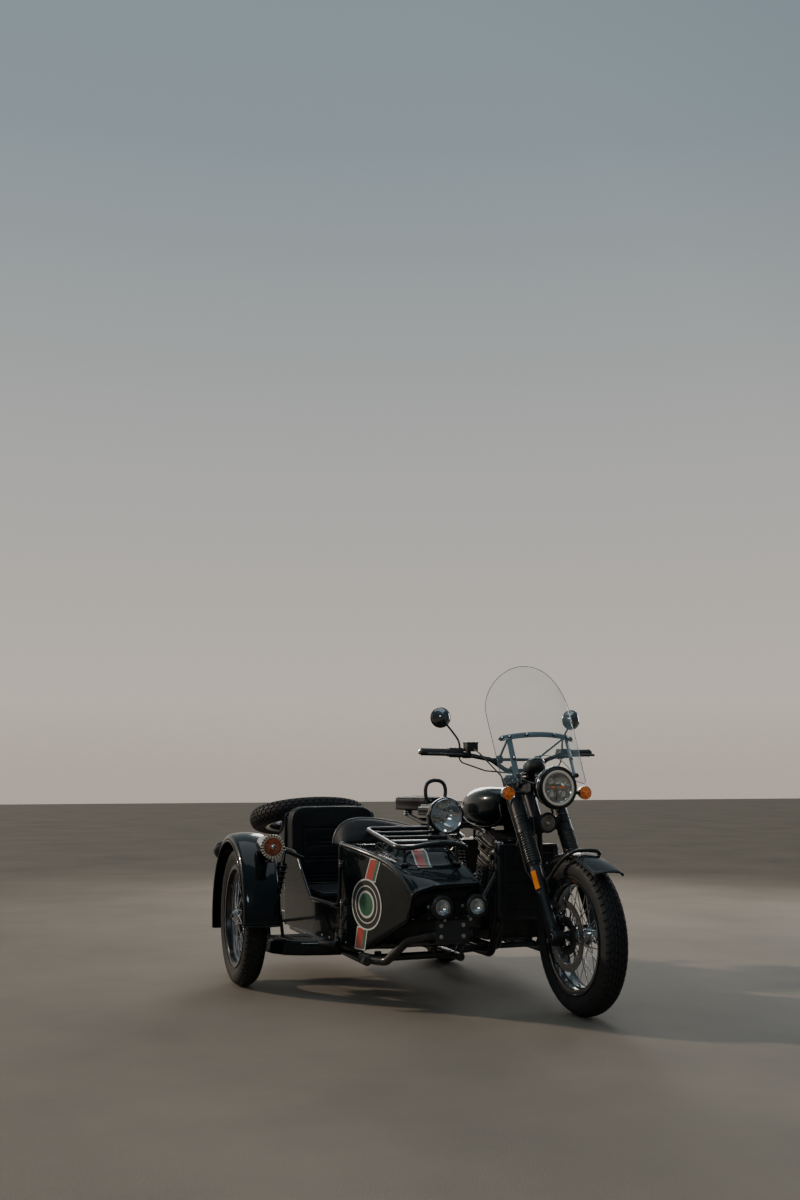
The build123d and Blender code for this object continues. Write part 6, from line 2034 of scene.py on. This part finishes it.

# engine side covers: ribs, bolts, filler
ec = Parts()
for s in (-1, 1):
    xo = s * 178
    ec.turned([(-2, 96), (2, 104), (6, 100), (8, 88), (9, 60), (9, 0)], (xo, -640, 350), (s, 0, 0), 64, 0)
    ec.turned([(0, 62), (2, 66), (5, 66), (6, 60)], (xo + s * 8, -640, 350), (s, 0, 0), 48, 1)
    for k in range(8):
        a = 2 * math.pi * (k + 0.5) / 8
        ec.turned([(0, 0), (0, 6.2), (8, 6.2), (8, 0)], (xo - s * 1, -640 + 97 * math.cos(a), 350 + 97 * math.sin(a)), (s, 0, 0), 18, 0)
        ec.hexbolt((xo + s * 7, -640 + 97 * math.cos(a), 350 + 97 * math.sin(a)), (s, 0, 0), 4.6, 5, 1, washer=False)
    for k in range(7):
        yy = -640 - 36 + 12 * k
        hh = 2 * math.sqrt(max(52 ** 2 - (yy + 640) ** 2, 1))
        ec.box((xo + s * 10, yy, 350), 4, 4, hh, 0, ch=1)
    ec.turned([(-2, 60), (2, 67), (6, 64), (8, 52), (9, 0)], (s * 165, -840, 345), (s, 0, 0), 48, 0)
    for k in range(5):
        a = 2 * math.pi * k / 5 + 0.3
        ec.hexbolt((s * 170, -840 + 60 * math.cos(a), 345 + 60 * math.sin(a)), (s, 0, 0), 4.4, 5, 1, washer=False)
    # crankcase joint flange and bolts
    for y in (-900, -760, -540):
        ec.turned([(-6, 0), (-6, 8), (6, 8), (6, 0)], (s * 120, y, 466), (0, 0, 1), 16, 0)
        ec.hexbolt((s * 120, y, 472), (0, 0, 1), 5, 5, 1, washer=False)
    # foot peg rubbers
    pr = [(0, 0), (0, 13.4)]
    for k in range(9):
        pr += [(4 + 11 * k, 17.6), (10 + 11 * k, 17.6), (12 + 11 * k, 15.8), (14 + 11 * k, 15.8)]
    pr += [(104, 16), (105, 0)]
    ec.turned(pr, (s * 150, -478, 264), (s, 0, 0), 28, 2)
# drain plug, sump ribs
for k in range(9):
    ec.box((0, -900 + 46 * k, 230), 200, 6, 10, 0, ch=1.5)
ec.hexbolt((0, -700, 226), (0, 0, -1), 12, 9, 1)
# gear lever, brake pedal
ec.rod((176, -560, 300), (214, -690, 286), 6, 14, 1)
ec.turned([(0, 0), (0, 9), (34, 9), (36, 6), (36, 0)], (205, -692, 286), (1, 0, 0), 20, 2)
ec.rod((-150, -500, 262), (-196, -640, 262), 7, 14, 1)
ec.box((-205, -655, 268), 52, 34, 9, 2, ch=2.5)
ec.build("engine_fittings", ["dark_alloy", "steel", "rubber"], "chassis")

# -------------------------------------------------------------- radiator
rd = Parts()
for s in (-1, 1):
    rd.turned([(0, 0), (0, 10), (4, 17), (12, 19.5), (328, 19.5), (336, 17), (340, 10), (340, 0)], (s * 147, -1059, 348), (0, 0, 1), 40, 0)
    for z in (372, 664):
        rd.turned([(-2, 0), (-2, 20.6), (6, 20.6), (6, 0)], (s * 147, -1059, z), (0, 0, 1), 40, 0)
    rd.turned([(-20, 0), (-20, 13), (22, 13), (24, 15.5), (27, 15.5), (27, 0)], (s * 147, -1059, 652 if s < 0 else 380), (0, 1, 0), 28, 0)
rd.box((0, -1059, 350), 274, 40, 12, 0, ch=2)
rd.box((0, -1059, 686), 274, 40, 12, 0, ch=2)
rd.turned([(0, 0), (0, 15), (8, 15), (8, 21), (17, 21), (20, 17), (20, 0)], (-147, -1059, 686), (0, 0, 1), 36, 2)
for k in range(46):
    rd.box((0, -1079.6, 362 + 7 * k), 268, 3.0, 1.6, 1)
for k in range(13):
    rd.box((-126 + 21 * k, -1077, 522), 2.6, 5, 318, 1)
# stone guard
for k in range(5):
    rd.rod((-128, -1086, 400 + 62 * k), (128, -1086, 400 + 62 * k), 3, 10, 0)
for x in (-128, 128):
    rd.rod((x, -1086, 380), (x, -1086, 668), 4, 12, 0)
    for z in (380, 668):
        rd.rod((x, -1086, z), (x, -1062, z), 4, 12, 0)
rd.build("radiator_tanks", ["satin_black", "radiator_core", "steel"], "chassis")
tube("top_hose", [(-147, -1034, 652), (-147, -1000, 652), (-140, -968, 640), (-122, -930, 622), (-110, -890, 640)], 14.5, "rubber", "chassis",
     smooth=8, sides=20)
tube("bottom_hose", [(147, -1034, 380), (147, -990, 378), (140, -960, 372), (130, -925, 370)], 14.5, "rubber", "chassis", smooth=8, sides=20)
hc = Parts()
for c, d in (((-147, -1026, 652), (0, 1, 0)), ((147, -1026, 380), (0, 1, 0)), ((-116, -908, 630), (-0.2, 1, 0.3)), ((136, -944, 371), (-0.3, 1, 0))):
    hc.turned([(-5, 15.0), (-5, 16.4), (5, 16.4), (5, 15.0)], c, d, 32, 0)
    hc.box(np.array(c) + np.array([0, 0, 18]), 10, 12, 8, 0, ch=1)
hc.build("hose_clamps", ["steel"], "chassis")

# -------------------------------------------------------------- exhausts
xh = Parts()
for s in (-1, 1):
    e = (208, 330, 330) if s > 0 else (-188, 330, 330)
    d = np.array([3.0 * s if s > 0 else -2.0, 390.0, 55.0])
    d /= np.linalg.norm(d)
    xh.turned([(-6, 0), (-6, 41.4), (4, 43), (12, 40), (20, 34), (22, 26), (20, 24), (-4, 24), (-4, 0)], e, d, 48, 1)
    a = np.array((170.0 * s, -480, 190))
    xh.turned([(-12, 27), (-12, 31), (8, 31), (8, 27)], a, (0.1 * s, 1, 0.1), 32, 1)
    xh.hexbolt(a + np.array([0, -2, 34]), (0, 0, 1), 5, 6, 1)
xh.build("exhaust_tips", ["satin_black", "chrome"], "chassis")

# ------------------------------------------------------------ instrument
IC, IN_ = np.array([0.0, -1162, 1052]), np.array([0, 0.62, 0.78])
IN_ /= np.linalg.norm(IN_)
bowl = [(p[0], p[1]) for p in catmull([(-36, 0), (-35.5, 16), (-30, 34), (-19, 45), (-4, 50), (10, 50.5)], 6)] + \
       [(12, 52.5), (18, 53), (21, 51.5), (22, 47), (20, 46), (17, 46)]
ob = lathe("instrument_case", bowl, IC, IN_, "black_plastic", "fork", 72, 40)
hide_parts("instrument")
lathe("instrument_bezel", [(13, 52.6), (17, 54), (20.5, 52.8), (21.5, 48), (19.5, 46.2)], IC, IN_, "chrome", "fork", 72, 40)
lathe("instrument_glass", [(19, 46), (20.5, 30), (21.2, 12), (21.4, 0)], IC, IN_, "glass", "fork", 60)
dl = Parts()
du, dv = np.array([1.0, 0, 0]), np.cross(IN_, np.array([1.0, 0, 0]))
dl.turned([(12, 0), (12, 46), (14, 46), (14, 0)], IC, IN_, 60, 0)
for k in range(41):
    a = math.radians(-130 + 260 * k / 40)
    rdir = du * math.sin(a) + dv * math.cos(a)
    tdir = du * math.cos(a) - dv * math.sin(a)
    L = 7.5 if k % 5 == 0 else 4.0
    dl.box(IC + IN_ * 14.3 + rdir * (40 - L / 2), 1.3 if k % 5 == 0 else 0.7, L, 0.7, 1, rot=(tdir, rdir, IN_))
a = math.radians(-128)
rdir, tdir = du * math.sin(a) + dv * math.cos(a), du * math.cos(a) - dv * math.sin(a)
dl.box(IC + IN_ * 16 + rdir * 12, 1.8, 42, 0.8, 2, rot=(tdir, rdir, IN_))
dl.turned([(14, 0), (14, 5), (17, 4.6), (18, 0)], IC, IN_, 24, 3)
dl.box(IC + IN_ * 14.4 - dv * 18, 24, 10, 0.8, 3, rot=(du, dv, IN_), ch=0.3)
for k, c in ((-22, 2), (22, 4)):
    dl.turned([(14, 0), (14, 2.6), (15, 2.2), (15.4, 0)], IC + du * k - dv * 8, IN_, 16, c)
dl.build("instrument_dial", ["dial_face", "white_paint", "red_paint", "black_plastic", "green_paint"], "fork")
ib = Parts()
ib.rod((-60, -1148, 1020), (60, -1148, 1020), 6, 16, 0)
ib.turned([(-58, 0), (-58, 17), (-30, 17), (-30, 0)], IC, IN_, 28, 0)
for s in (-1, 1):
    ib.box((s * 34, -1150, 1018), 8, 26, 34, 0, ch=2)
    ib.hexbolt((s * 60, -1148, 1020), (s, 0, 0), 7, 5, 1)
ib.build("instrument_bracket", ["satin_black", "chrome"], "fork")
tube("speed_cable", [tuple(IC - IN_ * 36), tuple(IC - IN_ * 62 + np.array([0, 0, -10])), (-30, -1225, 940), (-62, -1262, 800), (-70, -1330, 640),
                     (-66, -1420, 500)], 3.6, "rubber", "fork", smooth=8, sides=10)

# horn between the legs
hn = Parts()
hn.turned([(-22, 0), (-22, 26), (-14, 34), (-4, 46), (2, 48), (5, 46), (5, 40), (0, 30), (0, 0)], (0, -1282, 800), (0, -1, -0.1), 56, 0)
for k in range(6):
    hn.turned([(3.5, 36 - 6 * k), (5.6, 34.6 - 6 * k), (5.6, 33.4 - 6 * k), (3.5, 32 - 6 * k)], (0, -1282, 800), (0, -1, -0.1), 48, 1)
hn.turned([(2, 0), (2, 8), (8, 7), (9, 0)], (0, -1282, 800), (0, -1, -0.1), 20, 1)
hn.rod((0, -1262, 800), (0, -1218, 830), 7, 14, 0)
hn.build("horn", ["satin_black", "chrome"], "fork")

# --------------------------------------------- step board, bumper, small parts
skirt_line = [(-1150, -500), (-1130, -600), (-1085, -680), (-1010, -722), (-920, -748), (-832, -762)]
rows = []
for k in range(41):
    t = k / 40 * (len(skirt_line) - 1)
    i = min(int(t), len(skirt_line) - 2)
    f = t - i
    p = [skirt_line[i][j] * (1 - f) + skirt_line[i + 1][j] * f for j in (0, 1)]
    w = 6 * math.sin(math.pi * k / 40)
    row = []
    for z, o in ((245.5, 34), (248.5, 24), (249, 15), (246.5, 6), (240, 1), (230, -1.5), (214, -1.5), (198, 0), (188, 2), (182, 5), (179, 10)):
        row.append((p[0] + o * 0.42, p[1] + o * 0.9 - w * 0.3, z))
    rows.append(row)
grid("step_skirt", rows, "gloss_black", "chassis", thick=2.4, offset=-1.0, even=False)
st = Parts()
# tread lines of the board
for k in range(7):
    t = k / 6
    a = (-1108 + 150 * t, -482 - 60 * t, 244.6)
    b = (-1052 + 150 * t, -640 - 70 * t, 244.6)
    st.rod(a, b, 2.2, 8, 1)
# bright sill strip with studs
e1 = np.array([0.0, -1.0, 0.0])
st.box((-902, -470, 246.0), 34, 470, 5, 2, ch=1.2)
for k in range(21):
    st.dome((-902, -250 - 22 * k, 248.4), (0, 0, 1), 5, 2.4, 3)
# bracket with bolts at the outer end
st.box((-1146, -506, 232), 12, 60, 34, 0, ch=2)
st.box((-1140, -520, 208), 26, 40, 10, 0, ch=2)
for y in (-524, -490):
    st.hexbolt((-1152, y, 234), (-1, 0, 0), 7, 6, 3)
st.turned([(0, 0), (0, 15), (5, 15), (7, 12), (7, 0)], (-1136, -548, 236), (-0.5, -0.86, 0), 24, 3)
st.build("step_fittings", ["satin_black", "rubber", "steel", "chrome"], "chassis")

bc = Parts()
a, b = np.array([-829.0, -1053.0, 212.0]), np.array([-795.0, -1105.0, 207.0])
d = (b - a) / np.linalg.norm(b - a)
bc.turned([(0, 0), (0, 20), (3, 22), (52, 22), (58, 20), (61, 15), (62, 0)], a, d, 32, 0)
bc.turned([(8, 22), (9, 22.8), (12, 22.8), (13, 22)], a, d, 32, 0)
bc.build("bumper_end_cap", ["rubber"], "chassis")

# clamp of the spare wheel: plate, nut and lever, seen from above
sn = Parts()
base = SPARE_C + SP_AX * 42
sn.turned([(-4, 0), (-4, 30), (3, 30), (5, 26), (6, 0)], base, SP_AX, 40, 0)
sn.hexbolt(base + SP_AX * 6, SP_AX, 15, 14, 1)
sn.rod(base + SP_AX * 14, base + SP_AX * 34, 9, 18, 1)
for s in (-1, 1):
    q0 = base + SP_AX * 24
    q1 = base + SP_AX * 34 + np.array([s * 34.0, 0, 0])
    sn.rod(q0, q1, 4.5, 12, 1)
    sn.dome(q1, (s, 0, 0.3), 6.5, 6, 1)
sn.build("spare_clamp", ["satin_black", "chrome"], "chassis")


# bolts of the rack
def rz(y):
    return 702 + (y + 1305) * 62 / 455


rb = Parts()
rb.hexbolt((-503, -1078, rz(-1078) + 8), (0, 0, 1), 7.5, 7, 1)
for x, y in ((-742, -964), (-742, -1078), (-742, -1191), (-415, -1078), (-415, -1191)):
    s = -1 if x < -600 else 1
    rb.turned([(-7, 9.0), (-6, 12.4), (-1, 12.8), (4, 11.6), (6, 9.0)], (x - s * 14, y, rz(y)), (-s, 0, 0), 20, 0)
for x in (-700, -450):
    for y in (-1270, -930):
        zb = {-1270: 621, -930: 692}[y]
        rb.turned([(-2, 0), (-2, 20), (3, 20), (5, 15), (9, 9), (9, 0)], (x, y, zb + 6 + (hump(x, y) if y < -1000 else 0)), (0, 0, 1), 28, 0)
        for s in (-1, 1):
            rb.hexbolt((x, y + s * 13, zb + 9 + (hump(x, y) if y < -1000 else 0)), (0, 0, 1), 4, 3.4, 1)
rb.build("rack_fittings", ["frame_black", "steel"], "chassis")

# ------------------------------------------------------------------ rear end
tl = Parts()
tl.box((0, 400, 608), 92, 26, 62, 0, ch=5)
tl.box((0, 414, 608), 100, 8, 68, 1, ch=3)
for k in range(9):
    tl.rod((-42, 424, 584 + 6 * k), (42, 424, 584 + 6 * k), 3.2, 8, 2)
tl.box((0, 419, 608), 88, 8, 56, 2, ch=3)
for s in (-1, 1):
    tl.dome((s * 40, 426, 608), (0, 1, 0), 3, 2, 1)
    tl.rod((s * 44, 402, 610), (s * 132, 405, 610), 6.5, 14, 0)
    tl.turned([(-18, 0), (-17, 10), (-12, 20), (-2, 27), (8, 30), (20, 30.5), (22, 29)], (s * 150, 408, 610), (0, 1, 0), 36, 0)
    tl.turned([(19, 30.6), (21, 31.4), (24, 31.2), (25, 29.5)], (s * 150, 408, 610), (0, 1, 0), 36, 1)
    tl.turned([(20, 28.8), (25, 28), (30, 24), (33, 14), (34, 0)], (s * 150, 408, 610), (0, 1, 0), 36, 3)
    tl.turned([(-6, 9), (-6, 13), (6, 13), (6, 9)], (s * 124, 405, 610), (s, 0, 0), 20, 0)
ob = tl.build("tail_unit", ["satin_black", "chrome", "red_lens", "amber"], "chassis")
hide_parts("tail_lamp")

np_ = Parts()
np_.box((0, 448.6, 475), 200, 2.8, 150, 0, ch=1.2)
for z, h in ((549, 3), (401, 3)):
    np_.rod((-97, 450, z), (97, 450, z), 1.8, 8, 1)
for x in (-99, 99):
    np_.rod((x, 450, 402), (x, 450, 548), 1.8, 8, 1)
np_.box((0, 445.2, 475), 176, 4, 128, 1, ch=1)
np_.box((0, 408, 476), 30, 76, 12, 1, ch=2)
np_.box((0, 441, 500), 26, 6, 60, 1, ch=1.5)
for s in (-1, 1):
    np_.hexbolt((s * 60, 450, 530), (0, 1, 0), 5.5, 4, 2)
np_.box((0, 440, 566), 70, 18, 16, 1, ch=3)
ob = np_.build("rear_plate_blank", ["plate", "satin_black", "steel"], "chassis")
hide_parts("number_plate")
